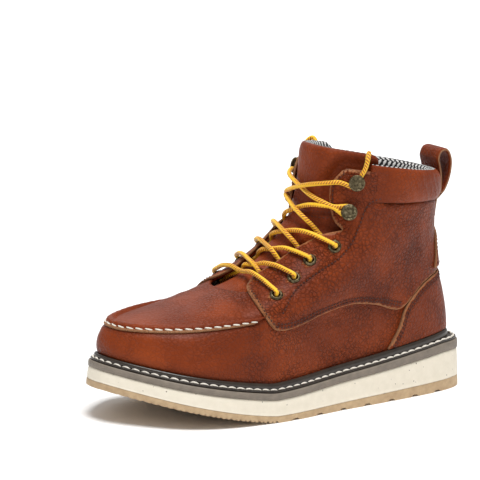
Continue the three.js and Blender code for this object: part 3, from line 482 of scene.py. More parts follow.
class Shader:
    """A material and short ways to add and link its nodes."""

    def __init__(self, name):
        self.material = bpy.data.materials.new(name)
        self.material.use_nodes = True
        self.tree = self.material.node_tree
        self.base = self.tree.nodes["Principled BSDF"]
        scale = self.add("ShaderNodeVectorMath", operation="SCALE")
        scale.inputs["Scale"].default_value = 1000
        self.link(self.add("ShaderNodeTexCoord").outputs["Object"], scale.inputs[0])
        self.mm = scale.outputs[0]

    def add(self, kind, **settings):
        node = self.tree.nodes.new(kind)
        for key, value in settings.items():
            setattr(node, key, value)
        return node

    def link(self, a, b):
        self.tree.links.new(a, b)

    def value(self, socket, x):
        if isinstance(x, bpy.types.NodeSocket):
            self.link(x, socket)
        else:
            socket.default_value = x

    def math(self, operation, a, b=0.0):
        node = self.add("ShaderNodeMath", operation=operation)
        self.value(node.inputs[0], a)
        self.value(node.inputs[1], b)
        return node.outputs[0]

    def noise(self, size, detail=3, rough=0.5, place=None):
        node = self.add("ShaderNodeTexNoise")
        node.inputs["Scale"].default_value = 1 / size
        node.inputs["Detail"].default_value = detail
        node.inputs["Roughness"].default_value = rough
        self.link(place or self.mm, node.inputs["Vector"])
        return node.outputs["Fac"]

    def cells(self, size, feature, place):
        node = self.add("ShaderNodeTexVoronoi", feature=feature)
        node.inputs["Scale"].default_value = 1 / size
        self.link(place, node.inputs["Vector"])
        return node.outputs["Distance"]

    def warped(self, size, amount):
        """The place in millimetres, pushed about by noise."""
        node = self.add("ShaderNodeTexNoise")
        node.inputs["Scale"].default_value = 1 / size
        self.link(self.mm, node.inputs["Vector"])
        push = self.add("ShaderNodeVectorMath", operation="MULTIPLY_ADD")
        self.link(node.outputs["Color"], push.inputs[0])
        push.inputs[1].default_value = (amount, amount, amount)
        self.link(self.mm, push.inputs[2])
        return push.outputs[0]

    def parts(self):
        """The two numbers of the mesh's own UV."""
        split = self.add("ShaderNodeSeparateXYZ")
        self.link(self.add("ShaderNodeUVMap", uv_map="UVMap").outputs[0], split.inputs[0])
        return split.outputs[0], split.outputs[1]

    def beat(self, x):
        """How far a value is from the middle of its unit step."""
        return self.math("ABSOLUTE", self.math("SUBTRACT", self.math("FRACT", x), 0.5))

    def ramp(self, fac, stops):
        node = self.add("ShaderNodeValToRGB")
        while len(node.color_ramp.elements) < len(stops):
            node.color_ramp.elements.new(0.5)
        for element, (position, colour) in zip(node.color_ramp.elements, stops):
            element.position = position
            element.color = colour if hasattr(colour, "__len__") else (colour, colour, colour, 1)
        self.link(fac, node.inputs[0])
        return node.outputs[0]

    def mix(self, fac, a, b, blend="MIX"):
        node = self.add("ShaderNodeMix", data_type="RGBA", blend_type=blend)
        self.value(node.inputs[0], fac)
        self.value(node.inputs[6], a)
        self.value(node.inputs[7], b)
        return node.outputs[2]

    def attribute(self, name):
        return self.add("ShaderNodeAttribute", attribute_name=name).outputs["Fac"]

    def bump(self, height, distance, strength=1.0, after=None):
        node = self.add("ShaderNodeBump")
        node.inputs["Strength"].default_value = strength
        node.inputs["Distance"].default_value = distance / 1000
        self.link(height, node.inputs["Height"])
        if after is not None:
            self.link(after, node.inputs["Normal"])
        return node.outputs[0]

    def finish(self, colour, roughness, bump=None, **sockets):
        self.value(self.base.inputs["Base Color"], colour)
        self.value(self.base.inputs["Roughness"], roughness)
        if bump is not None:
            self.link(bump, self.base.inputs["Normal"])
        for key, value in sockets.items():
            self.base.inputs[key.replace("_", " ")].default_value = value
        return self.material


def leather_material():
    """Full-grain leather. Mesh values: grain, how pebbled; a painted-shadow value, how far grooves, seams and
    recesses are darkened; rim, where the cut edge shows.
    """
    s = Shader("leather")
    grain = s.attribute("grain")
    painted_shade = s.attribute("painted_shade")
    rim = s.attribute("rim")
    bent = s.warped(4.0, 2.6)
    pebble = s.cells(3.1, "DISTANCE_TO_EDGE", bent)
    small = s.cells(1.5, "DISTANCE_TO_EDGE", bent)
    fine = s.noise(0.5, 4, 0.6)
    cloud = s.noise(38, 3, 0.5)
    folds = s.noise(6, 2, 0.5, s.warped(14, 8))
    depth = s.math("MULTIPLY", grain, s.ramp(s.noise(17, 2, 0.5), ((0.38, 0.45), (0.62, 1.0))))
    colour = s.ramp(cloud, (
        (0.36, tint(112, 44, 14)),
        (0.52, tint(125, 51, 17)),
        (0.66, tint(139, 59, 21)),
    ))
    # darker pebble valleys: partly the grain's own tone, partly painted shade in its pits
    crease = s.ramp(pebble, ((0.0, 0.55), (0.16, 0.93), (0.4, 1.0)))
    colour = s.mix(depth, colour, s.mix(1.0, colour, crease, "MULTIPLY"))
    # painted shade: grooves, seams and recesses darkened toward a deep brown by the mesh's painted-shade
    # value
    colour = s.mix(painted_shade, colour, tint(52, 19, 7))
    colour = s.mix(s.ramp(rim, ((0.3, 0.0), (0.6, 0.8))), colour, tint(166, 110, 72))
    large = s.ramp(pebble, ((0.0, 0.0), (0.1, 0.6), (0.3, 1.0)))
    little = s.ramp(small, ((0.0, 0.0), (0.12, 0.7), (0.3, 1.0)))
    height = s.math("MULTIPLY", s.math("ADD", large, s.math("MULTIPLY", little, 0.35)), depth)
    bump = s.bump(folds, 0.8, 0.35)
    bump = s.bump(height, 0.8, 1.0, bump)
    bump = s.bump(fine, 0.06, 0.4, bump)
    rough = s.math("SUBTRACT", 0.46, s.math("MULTIPLY", s.math("MULTIPLY", large, depth), 0.1))
    return s.finish(
        colour, rough, bump, Coat_Weight=0.05, Coat_Roughness=0.25, Specular_IOR_Level=0.13,
    )


def raw_edge_material():
    s = Shader("raw_edge")
    fibres = s.noise(0.7, 5, 0.7)
    colour = s.ramp(fibres, ((0.3, tint(92, 56, 33)), (0.52, tint(140, 95, 60)), (0.72, tint(170, 124, 84))))
    return s.finish(colour, 0.8, s.bump(fibres, 0.25, 0.6))


def thread_material(name, colour, dark):
    s = Shader(name)
    ply = s.noise(0.5, 3, 0.6)
    return s.finish(s.ramp(ply, ((0.3, dark), (0.6, colour))), 0.65, s.bump(ply, 0.12, 0.6))


def rubber_material(name, low, high, roughness, speck=0.0, mottle=6.0):
    s = Shader(name)
    cloud = s.noise(mottle, 4, 0.6)
    colour = s.ramp(cloud, ((0.3, low), (0.7, high)))
    if speck:
        spots = s.cells(4.2, "F1", s.warped(9, 5))
        mask = s.ramp(spots, ((0.0, 1.0), (speck, 1.0), (speck + 0.03, 0.0)))
        some = s.ramp(s.noise(11, 2, 0.5), ((0.52, 0.0), (0.6, 1.0)))
        colour = s.mix(s.math("MULTIPLY", mask, some), colour, tint(92, 80, 66))
    fine = s.noise(0.5, 3, 0.6)
    return s.finish(colour, roughness, s.bump(fine, 0.08, 0.5))


WEAVE_ROW = 2.7    # millimetres
WEAVE_PITCH = 4.2
WEAVE_LEAN = 5.0


def woven_material():
    """A black and white weave: short slanted bars in rows, from the mesh's own millimetres (UV)."""
    s = Shader("woven_lining")
    across, along = s.parts()
    place = s.math("DIVIDE", along, WEAVE_ROW)
    odd = s.math("MODULO", s.math("ABSOLUTE", s.math("FLOOR", place)), 2.0)
    flip = s.math("SUBTRACT", s.math("MULTIPLY", odd, 2.0), 1.0)
    lean = s.math("MULTIPLY", flip, s.math("DIVIDE", along, WEAVE_LEAN))
    wave = s.beat(s.math("ADD", s.math("DIVIDE", across, WEAVE_PITCH), lean))
    seat = s.beat(place)
    height = s.math("SUBTRACT", 0.5, s.math("ADD", wave, s.math("MULTIPLY", seat, 0.35)))
    mask = s.ramp(s.math("MULTIPLY", height, 2.0), ((0.38, 0.0), (0.46, 1.0)))
    fuzz = s.noise(0.4, 3, 0.7)
    white = s.ramp(fuzz, ((0.3, tint(160, 158, 156)), (0.7, tint(236, 234, 230))))
    colour = s.mix(mask, tint(14, 14, 16), white)
    return s.finish(colour, 0.85, s.bump(height, 0.5, 0.8))


BRAID_PITCH = 2.0    # millimetres


def lace_material():
    """Golden braid with brown ticks in tracer lines. UV: share around, millimetres along."""
    s = Shader("lace_braid")
    around, along = s.parts()
    run = s.math("DIVIDE", along, BRAID_PITCH)
    turn = s.math("MULTIPLY", around, 3.0)  # strands each way round
    strand = s.math("FRACT", s.math("ADD", run, turn))
    other = s.math("SUBTRACT", run, turn)
    side = s.beat(s.math("MULTIPLY", around, 2.0))
    tracer = s.ramp(side, ((0.0, 1.0), (0.24, 1.0), (0.32, 0.0)))
    tick = s.ramp(strand, ((0.22, 1.0), (0.3, 0.0)))
    half = s.ramp(strand, ((0.52, 1.0), (0.6, 0.0)))
    fuzz = s.noise(0.6, 3, 0.6)
    gold = s.ramp(fuzz, ((0.3, tint(232, 166, 8)), (0.7, tint(255, 212, 40))))
    colour = s.mix(s.math("MULTIPLY", tracer, half), gold, tint(204, 112, 12))
    colour = s.mix(s.math("MULTIPLY", tracer, tick), colour, tint(112, 46, 12))
    height = s.math("ADD", s.beat(strand), s.beat(other))
    return s.finish(colour, 0.6, s.bump(height, 0.18, 0.7), Sheen_Weight=0.15)


def brass_material():
    s = Shader("antique_brass")
    wear = s.noise(2.2, 4, 0.65)
    colour = s.ramp(wear, ((0.3, tint(44, 38, 27)), (0.52, tint(98, 87, 64)), (0.72, tint(158, 145, 114))))
    rough = s.math("ADD", 0.3, s.math("MULTIPLY", wear, 0.25))
    return s.finish(colour, rough, s.bump(s.noise(0.8, 3, 0.6), 0.06, 0.5), Metallic=0.9)


LEATHER_LOOK = leather_material()
RAW_EDGE = raw_edge_material()
WHITE_THREAD = thread_material("white_thread", tint(236, 230, 218), tint(186, 176, 160))
BROWN_THREAD = thread_material("brown_thread", tint(72, 29, 15), tint(42, 16, 8))
MIDSOLE_LOOK = rubber_material("midsole_foam", tint(222, 213, 194), tint(230, 221, 203), 0.6, speck=0.11)
OUTSOLE_LOOK = rubber_material("gum_outsole", tint(168, 140, 106), tint(192, 165, 128), 0.6)
LEDGE_LOOK = rubber_material("grey_ledge", tint(112, 102, 91), tint(130, 119, 106), 0.6)
WELT_LOOK = rubber_material("dark_welt", tint(38, 30, 24), tint(52, 43, 35), 0.34)
BOARD_LOOK = rubber_material("insole_board", tint(120, 104, 84), tint(150, 132, 108), 0.9)
WOVEN = woven_material()
LACE_LOOK = lace_material()
BRASS = brass_material()


# Sole

def sole_layer(name, node, around, rows, foot, top, bottom_z, top_z, material, across=2, weld=True):
    """A layer with outline outs foot..top and rounded edges. rows: (share of out, share of height)."""
    theta = ring_angles(around)
    points = []
    for side, height in rows:
        x, y = outline(theta, lerp(foot, top, side))
        x0 = np.clip(x, 0, SOLE_LENGTH)
        points.append(np.stack([x, y, lerp(bottom_z(x0, y), top_z(x0), height)], 1))
    faces = grid(len(rows), around, True).tolist()
    half = around // 2
    for base, surface in ((0, bottom_z), ((len(rows) - 1) * around, None)):
        ring = points[base // around]
        left = ring[np.arange(1, half)]
        right = ring[around - np.arange(1, half)]
        cap = [left]
        for k in range(1, across):
            between = lerp(left, right, k / across)
            if surface is not None:
                between[:, 2] = surface(np.clip(between[:, 0], 0, SOLE_LENGTH), between[:, 1])
            cap.append(between)
        cap.append(right)
        start = sum(len(p) for p in points)
        lattice = np.stack(cap, 1)
        points.append(lattice.reshape(-1, 3))
        faces.extend((grid(half - 1, across + 1) + start).tolist())
        for tip, end in ((0, 0), (half, half - 2)):
            row = start + end * (across + 1) + np.arange(across + 1)
            faces.extend([[base + tip, int(row[k]), int(row[k + 1])] for k in range(across)])
    piece = make(name, np.vstack(points), faces, [material], weld=weld)
    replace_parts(piece, node)
    return piece


def notch(x, start, stop, pitch, width, depth):
    """Height of straight grooves across the sole."""
    k = np.round((x - start) / pitch)
    centre = start + k * pitch
    centre = np.where((k < 0) | (centre > stop), 1e6, centre)
    gap = np.abs(x - centre)
    return depth * np.clip((width / 2 - gap) / (width / 4), 0, 1)


def tread(x, y):
    lugs = notch(x, LUG_RUN[0], LUG_RUN[1], LUG_PITCH, LUG_GROOVE, LUG_GROOVE_DEPTH)
    ribs = notch(x, RIB_RUN[0], RIB_RUN[1], RIB_PITCH, RIB_GROOVE, RIB_GROOVE_DEPTH)
    fine = notch(x, RIB_RUN[0] + RIB_PITCH / 2, RIB_RUN[1] + RIB_PITCH, RIB_PITCH / 2, 2.0, 1.4)
    return sole_bottom(x) + np.maximum(np.maximum(lugs, ribs), fine)


def build_sole():
    sole_layer(
        "outsole_tread", "outsole", 1600,
        ((0, 0), (0, 0.06), (0.1, 0.3), (0.5, 0.6), (1, 0.96), (1.3, 1)),
        SOLE_FLARE, SOLE_FLARE - 0.4, tread, outsole_top, OUTSOLE_LOOK, across=12,
    )
    sole_layer(
        "midsole_wedge", "midsole", 480,
        ((-0.2, 0), (0, 0.03), (0.05, 0.2), (0.3, 0.5), (0.7, 0.8), (1, 0.97), (1.2, 1)),
        SOLE_FLARE - LAYER_STEP, 0.3 - LAYER_STEP,
        lambda x, y: outsole_top(x) + 0.05, lambda x: ledge_bottom(x) - 0.05, MIDSOLE_LOOK,
    )
    sole_layer(
        "ledge_layer", "ledge", 480,
        ((3, 0), (0, 0.04), (0, 0.5), (1, 0.85), (2, 0.96), (4.5, 1)),
        0.3, 0, lambda x, y: ledge_bottom(x), sole_top, LEDGE_LOOK,
    )


def ledge_edge(theta):
    x, y = outline(theta, 0)
    return np.stack([x, y, sole_top(np.clip(x, 0, SOLE_LENGTH))], -1)


def on_ledge(theta, out, up):
    foot = off(0, theta, 0)
    edge = ledge_edge(theta)
    t = out / np.linalg.norm(foot - edge, axis=-1)
    p = lerp(foot, edge, t[:, None])
    p[:, 2] = sole_top(np.clip(p[:, 0], 0, SOLE_LENGTH)) + SEAT_GAP + up
    return p


WELT_CHANNEL = 0.45  # depth of the groove that the welt's stitches lie in
WELT_ROW_INSET = 1.9  # from the rim to the stitches
BEAD_PROFILE = (  # level, out
    (0.0, 0.6), (0.3, 0.6), (0.6, 0.6), (0.65, 1.1), (0.66, 1.8), (0.62, 2.6), (0.52, 3.2), (0.4, 3.4),
    (0.28, 3.35), (0.2, 3.1),
)


def welt_reach(theta):
    """How far out from the upper the welt's rim lies."""
    return np.linalg.norm(ledge_edge(theta) - off(0, theta, 0), axis=-1) - WELT_SETBACK


def build_welt():
    around = 720
    theta = ring_angles(around)
    rim = welt_reach(theta)
    line = rim - WELT_ROW_INSET
    start = BEAD_WIDTH + 0.4
    rows = [off(v, theta, out) for v, out in BEAD_PROFILE]
    rows[0][:, 2] = sole_top(np.clip(rows[0][:, 0], 0, SOLE_LENGTH)) + SEAT_GAP
    flange = (
        (start, FLANGE_THICK + 0.2), (start + 0.9, FLANGE_THICK - 0.1), (line - 0.9, FLANGE_THICK - 0.05),
        (line - 0.5, FLANGE_THICK - WELT_CHANNEL), (line + 0.5, FLANGE_THICK - WELT_CHANNEL),
        (line + 0.9, FLANGE_THICK), (rim - 0.3, FLANGE_THICK), (rim, FLANGE_THICK - 0.3), (rim, 0),
    )
    rows.extend(on_ledge(theta, out, up) for out, up in flange)
    points = np.vstack(rows + [rows[0]])
    piece = make("storm_welt_bead", points, grid(len(rows) + 1, around, True), [WELT_LOOK], weld=True)
    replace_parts(piece, "storm_welt")
    ring = np.append(theta, 2 * np.pi)
    seat = on_ledge(ring, welt_reach(ring) - WELT_ROW_INSET, FLANGE_THICK - 0.1)
    up = np.tile([0.0, 0.0, 1.0], (len(seat), 1))
    thread("welt_stitches", [(seat, up)], WELT_STITCH, WHITE_THREAD, slant=0.7)


def build_insole():
    around = 240
    theta = ring_angles(around)
    points = []
    rows = ((0, 0), (0, 0.6), (0.35, 0.92), (1.2, 1.0))
    for back, share in rows:
        p = off(INSOLE_THICK * share / 10, theta, -WALL - 4 * GAP - back)
        p[:, 2] = sole_top(np.clip(p[:, 0], 0, SOLE_LENGTH)) + GAP + INSOLE_THICK * share
        points.append(p)
    faces = grid(len(rows), around, True).tolist()
    half = around // 2
    top = (len(rows) - 1) * around
    for base in (0, top):
        for i in range(half):
            a = base + i
            b = a + 1
            c = base + (around - i - 1) % around
            d = base + (around - i) % around
            faces.append([a, b, c] if a == d else [a, b, d] if b == c else [a, b, c, d])
    piece = make("insole_board", np.vstack(points), faces, [BOARD_LOOK])
    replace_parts(piece, "insole")


# Side-view outlines of the overlays, as in the frame's source (x, z)

def side_view(rows):
    """Rows of (along, up), shares of the sole's length and the shaft's height, as (x, z)."""
    return [(along * SOLE_LENGTH, HEEL_STACK + up * SHAFT_HEIGHT) for along, up in rows]


THROAT_FOOT = float(skin(THROAT_LEVEL, 0)[2])
FACING_LOW = side_view(((0.647, 0.363), (0.619, 0.407), (0.558, 0.48), (0.506, 0.555), (0.458, 0.62)))
NOTCH = side_view(((0.436, 0.635), (0.407, 0.649), (0.421, 0.69)))
FACING_HIGH = side_view(((0.425, 0.73), (0.426, 0.803), (0.421, 0.883), (0.403, 0.945)))
TAB_FRONT = side_view(((0.638, 0.237), (0.652, 0.303)))
QUARTER_FOOT = side_view((
    (0.622, 0.207), (0.596, 0.2), (0.553, 0.213), (0.478, 0.257), (0.394, 0.281), (0.314, 0.26),
    (0.231, 0.217),
))
COUNTER_EDGE = side_view(((0.256, 0.032), (0.232, 0.112), (0.21, 0.221), (0.147, 0.322), (0.09, 0.362)))
COUNTER_BACK = HEEL_STACK + 0.374 * SHAFT_HEIGHT
PIECE_GAP = 0.9
BACKSTAY_EDGE = ((0.325, 0.387), (0.282, 0.45), (0.256, 0.53), (0.154, 0.583))
EYELETS = side_view(((0.599, 0.357), (0.543, 0.429), (0.493, 0.506), (0.432, 0.571)))
HOOKS = side_view(((0.392, 0.741), (0.376, 0.891)))
SIDES = (("lateral", 1), ("medial", -1))
SPOTS = {name: {"eyelets": locate(EYELETS, side), "hooks": locate(HOOKS, side)} for name, side in SIDES}


# Facing edges: the angle of the front edge at each level

def inside(points, ring):
    """Whether each point lies in a polygon."""
    x, z = points[:, 0], points[:, 1]
    hit = np.zeros(len(points), bool)
    for (u, w), (s, t) in zip(ring, list(ring[1:]) + [ring[0]]):
        if w == t:
            continue
        hit ^= ((w > z) != (t > z)) & (x < u + (s - u) * (z - w) / (t - w))
    return hit


EDGE_LEVELS = 4.6 + 0.16 * np.arange(41)


def edge_table(side, facing):
    ring = [
        *side_view(((0.737, 0.157), (0.652, 0.157))), TAB_FRONT[1], *facing,
        *side_view(((0.372, 0.993), (0.353, 1.19), (0.737, 1.19))),
    ]
    t = np.arange(0.02, 1.6, 0.01)
    edges = []
    for v in EDGE_LEVELS:
        p = skin(np.full(t.size, v), t * side)
        hit = inside(p[:, [0, 2]], ring)
        edges.append(t[hit][-1] if hit.any() else 0.2)
    return np.array(edges)


PLAIN = {side: edge_table(side, (*FACING_LOW, *FACING_HIGH)) for _, side in SIDES}
NOTCHED = {side: edge_table(side, (*FACING_LOW, *NOTCH, *FACING_HIGH)) for _, side in SIDES}


def facing_theta(v, side):
    return through(EDGE_LEVELS, PLAIN[side], np.asarray(v, float))


def tongue_theta(v):
    return through((5.35, 6.6, 8, 9, 10, 10.33), (0.95, 1.08, 1.15, 1.22, 1.36, 1.38), v)


def tongue_out(v, theta):
    """How far the tongue's outer face lies out from the boot's."""
    edge = np.where(theta < 0, facing_theta(v, -1), facing_theta(v, 1))
    deep = smooth((np.abs(theta) / edge - 0.42) / 0.46)
    roof = lerp(WALL + 0.6, TONGUE_ROOF, smooth((v - 5.9) / 0.5))
    flare = 3 * smooth((v - 9.95) / 0.35)
    return -lerp(roof, TONGUE_DEEP - flare, deep)


# Panels: sheets of leather with thickness, cut to an outline in (level, angle)

ACROSS_MM = 62   # millimetres of a radian, roughly
LEVEL_MM = 13    # and of a level


def flat(spots):
    spots = np.asarray(spots, float)
    return np.stack([spots[:, 1] * ACROSS_MM, spots[:, 0] * LEVEL_MM], 1)


def mesh_panel(edge, holes, spacing):
    """Triangles of a flat outline with holes. Gives the points, triangles and rim edges."""
    loops = [evenly(np.vstack([edge, edge[:1]]), 0.9)[:-1]]
    loops.extend(holes)
    box_low = edge.min(0)
    box_high = edge.max(0)
    columns = np.arange(box_low[0], box_high[0], spacing)
    rows = np.arange(box_low[1], box_high[1], spacing * 0.87)
    gx, gy = np.meshgrid(columns, rows)
    gx = gx + (np.arange(len(rows)) % 2)[:, None] * spacing / 2
    body = np.stack([gx.ravel(), gy.ravel()], 1)
    body = body[inside(body, loops[0].tolist())]
    rim = np.vstack(loops)
    body = body[gap_to(body, rim) > spacing * 0.62]
    for hole in holes:
        body = body[~inside(body, hole.tolist())]
    ties = []
    start = 0
    for loop in loops:
        n = len(loop)
        ties.extend((start + k, start + (k + 1) % n) for k in range(n))
        start += n
    cloud = np.vstack([rim, body])
    spots, _, triangles, *_ = delaunay_2d_cdt([Vector(p) for p in cloud], ties, [], 0, 1e-6)
    spots = np.array([list(p) for p in spots])
    triangles = np.array(triangles)
    middle = spots[triangles].mean(1)
    keep = inside(middle, loops[0].tolist())
    for hole in holes:
        keep &= ~inside(middle, hole.tolist())
    triangles = triangles[keep]
    used = {}
    for a, b, c in triangles:
        for pair in ((a, b), (b, c), (c, a)):
            key = (min(pair), max(pair))
            used[key] = None if key in used else pair
    borders = [pair for pair in used.values() if pair is not None]
    return spots, triangles, borders


def panel(
    name, node, edge, low, high, holes=(), spacing=1.7, relief=None, looks=None, grain=1.0, weld=False,
    rim=1.0,
):
    """A sheet between two distances out from the skin. relief(v, theta, p) gives added height and painted
    shadow.
    """
    spots, triangles, borders = mesh_panel(flat(edge), [flat(h) for h in holes], spacing)
    v = spots[:, 1] / LEVEL_MM
    theta = spots[:, 0] / ACROSS_MM
    n = len(spots)
    on_rim = np.zeros(n)
    for a, b in borders:
        on_rim[a] = 1
        on_rim[b] = 1
    base = skin(v, theta)
    added, painted_shade = relief(v, theta, base) if relief else (np.zeros(n), np.zeros(n))
    outer = off(v, theta, high + added - 0.35 * on_rim)
    inner = off(v, theta, np.full(n, float(low)))
    middle = off(v, theta, high + added - 0.8)
    points = np.vstack([outer, inner, middle])
    faces = [list(t) for t in triangles] + [[a + n, c + n, b + n] for a, b, c in triangles]
    marks = [0] * len(triangles) + [2] * len(triangles)
    for a, b in borders:
        faces.append([b, a, a + 2 * n, b + 2 * n])
        faces.append([b + 2 * n, a + 2 * n, a + n, b + n])
        marks.extend([1, 1])
    uv = np.vstack([np.stack([theta * ACROSS_MM, v * LEVEL_MM], 1)] * 3)
    bare = rim(v, theta) if callable(rim) else rim
    values = {
        "grain": np.tile(np.broadcast_to(grain(v, theta, base) if callable(grain) else grain, n), 3),
        "painted_shade": np.tile(painted_shade, 3),
        "rim": np.concatenate([on_rim * bare, np.zeros(2 * n)]),
    }
    keep = np.unique(np.concatenate([np.ravel(f) for f in faces]))
    where = np.full(3 * n, -1)
    where[keep] = np.arange(len(keep))
    faces = [[where[i] for i in f] for f in faces]
    piece = make(
        name, points[keep], faces, looks or [LEATHER_LOOK, RAW_EDGE, LEATHER_LOOK],
        marks=marks, uv=uv[keep], values={k: x[keep] for k, x in values.items()}, weld=weld,
    )
    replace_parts(piece, node)


def hole_ring(spot, radius, count=20):
    """A circle on the skin round a spot, as (level, angle)."""
    v, theta = spot
    _, pv, pt = slopes(v, theta)
    n = unit(np.cross(pt, pv))
    one = unit(pv)
    two = np.cross(n, one)
    m = np.array([[pv @ one, pt @ one], [pv @ two, pt @ two]])
    phi = ring_angles(count)
    shift = np.linalg.solve(m, np.stack([radius * np.cos(phi), radius * np.sin(phi)]))
    return np.stack([v + shift[0], theta + shift[1]], 1)


def lifted(spots, out):
    spots = np.asarray(spots, float)
    return off(spots[:, 0], spots[:, 1], np.full(len(spots), float(out))), normal(spots[:, 0], spots[:, 1])


def fitting_holes(name):
    """The outlines of one side's holes for eyelets and hooks."""
    holes = [hole_ring(s, EYELET_BARREL + GAP) for s in SPOTS[name]["eyelets"]]
    return holes + [hole_ring(s, HOOK_STEM + GAP) for s in SPOTS[name]["hooks"]]


# Upper

def throat_edge(side, more):
    keep = EDGE_LEVELS > THROAT_LEVEL
    levels = EDGE_LEVELS[keep]
    return np.stack([levels, side * (NOTCHED[side][keep] + more)], 1)


def upper_outline():
    """The whole upper unrolled: from the back seam round the toe to the back seam."""
    top = min(COLLAR_LEVEL, EDGE_LEVELS[-1])
    right = throat_edge(1, FACING_BACKING)
    left = throat_edge(-1, FACING_BACKING)
    right = right[right[:, 0] < top]
    left = left[left[:, 0] < top]
    back = np.linspace(0, top, 80)
    ring = [np.stack([np.zeros(300), np.linspace(-np.pi, np.pi, 300)], 1)]
    ring.append(np.stack([back, np.full(80, np.pi)], 1)[1:])
    ring.append(np.array([[top, right[-1, 1]]]))
    ring.append(right[::-1])
    ring.append(np.array([[THROAT_LEVEL, right[0, 1]], [THROAT_LEVEL, left[0, 1]]]))
    ring.append(left)
    ring.append(np.array([[top, left[-1, 1]]]))
    ring.append(np.stack([back[::-1], np.full(80, -np.pi)], 1)[:-1])
    return np.vstack(ring)


# Creases: x, z of the middle, half length, slope in degrees, half width, depth; negative is a ridge
VAMP_CREASES = (
    (214, 74, 16, 62, 2.6, 0.5),
    (206, 70, 14, 58, 2.2, 0.45),
    (222, 78, 12, 70, 3.0, -0.4),
    (150, 66, 26, 8, 5.0, 0.35),
    (120, 60, 22, -6, 4.5, 0.3),
)
QUARTER_CREASES = (
    (176, 92, 9, -38, 1.6, 0.35),
    (165, 96, 10, -35, 1.8, 0.35),
    (150, 104, 11, -42, 2.0, 0.4),
    (140, 110, 9, -50, 1.8, 0.3),
    (118, 128, 15, 72, 3.2, 0.55),
    (108, 122, 14, 64, 3.0, 0.4),
    (98, 108, 18, 20, 4.0, 0.45),
    (60, 118, 16, 78, 4.2, 0.5),
    (44, 110, 14, 70, 3.4, 0.4),
    (80, 138, 18, 8, 4.0, 0.4),
)


def seam_level(theta):
    return SEAM_LEVEL + SEAM_CLIMB * theta ** 2


def creases(p, table):
    """Soft troughs and ridges in the side view."""
    height = np.zeros(len(p))
    for x, z, half, slope, width, depth in table:
        a = math.radians(slope)
        dx = p[:, 0] - x
        dz = p[:, 2] - z
        along = dx * math.cos(a) + dz * math.sin(a)
        across = -dx * math.sin(a) + dz * math.cos(a)
        height -= depth * np.exp(-(across / width) ** 2) * np.exp(-(along / half) ** 2)
    return height


def upper_relief(v, theta, p):
    height = creases(p, VAMP_CREASES)
    seam = np.exp(-((v - (seam_level(theta) - SEAM_SPAN - 0.1)) / 0.1) ** 2)
    covered = smooth((p[:, 0] - SEAM_END + 6) / 12)
    height = height - 0.5 * seam * covered
    # painted shade in the groove below the apron seam and in a band just above the welt
    painted_shade = 0.35 * seam * covered + 0.35 * np.exp(-((v - 0.65) / 0.2) ** 2)
    return height, painted_shade


def upper_grain(v, theta, p):
    rear = smooth((250 - p[:, 0]) / 70)
    return 0.4 + 0.6 * rear


def build_upper():
    holes = [ring for name, _ in SIDES for ring in fitting_holes(name)]
    panel(
        "upper_shell", "upper", upper_outline(), -WALL, 0, holes, 2.0, upper_relief,
        [LEATHER_LOOK, LEATHER_LOOK, WOVEN], grain=upper_grain, weld=True, rim=0.0,
    )


# Raised apron seam: the wall's raw edge, a stitched hollow, and the apron's rolled edge

SEAM_PROFILE = (  # share of the span from below the middle to above it, share of the height
    (-1.0, 0.0), (-0.98, 0.36), (-0.86, 0.52), (-0.68, 0.56), (-0.56, 0.42), (-0.5, 0.4), (-0.42, 0.7),
    (-0.26, 1.0), (-0.02, 1.1), (0.22, 1.02), (0.42, 0.74), (0.56, 0.32), (0.66, 0.04), (0.78, -0.14),
    (0.0, -0.14),
)
RAW_ROWS = 4  # the first rows are raw edge
SEAM_TUCK = SOLE_LENGTH * 0.652  # x where the quarters' tabs begin


def seam_ends(reach):
    ends = []
    for _, side in SIDES:
        t = np.arange(0.3, 2.5, 0.005)
        x = skin(seam_level(t), t * side)[:, 0]
        ends.append(side * t[x > reach][-1])
    return ends


def seam_strip(name, start, stop, count):
    theta = np.linspace(start, stop, count)
    level = seam_level(theta)
    p = skin(level, theta)
    run = distances(p)
    pitch = run[-1] / max(1, round(run[-1] / APRON_STITCH[0]))
    pull = 0.5 + 0.5 * np.cos(2 * np.pi * run / pitch)
    rows = []
    for k, (share, rise) in enumerate(SEAM_PROFILE):
        height = np.full(count, SEAM_HEIGHT * rise)
        if 2 <= k <= 5:
            height = height - 0.3 * pull
        if 6 <= k <= 9:
            height = height - 0.22 * pull
        rows.append(off(level + SEAM_SPAN * share, theta, GAP * 0.3 + height))
    columns = len(rows)
    points = np.stack(rows, 1).reshape(-1, 3)
    faces = grid(count, columns, True).tolist()
    marks = [1 if (k % columns) < RAW_ROWS else 0 for k in range(len(faces))]
    faces.extend(end_faces(count, columns))
    marks.extend([0, 0])
    values = {"grain": np.full(len(points), 0.35), "painted_shade": np.zeros(len(points))}
    return make(name, points, faces, [LEATHER_LOOK, RAW_EDGE], marks=marks, values=values)


def build_seam():
    high, low = seam_ends(SEAM_END)
    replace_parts(seam_strip("apron_ridge", low, high, 460), "apron_seam")
    far_high, far_low = seam_ends(SEAM_TUCK)
    seam_strip("apron_ridge_end_lateral", high, far_high, 30)
    seam_strip("apron_ridge_end_medial", far_low, low, 30)
    theta = np.linspace(far_low, far_high, 500)
    level = seam_level(theta)
    line, up = lifted(np.stack([level - SEAM_SPAN * 0.5, theta], 1), GAP * 0.3 + SEAM_HEIGHT * 0.5)
    down = unit(skin(level - 0.8, theta) - skin(level - 0.2, theta))
    thread("apron_stitches", [(line, unit(up + 0.8 * down))], APRON_STITCH, WHITE_THREAD, slant=0.8)


# Quarters

EAR_LEAN = 0.11    # radians that the ear's front corner leans back
BACK_SEAM = 0.003  # half the gap between the quarters at the back, in radians
THREAD_SEAT = 0.25  # how far below a panel's face its stitches run


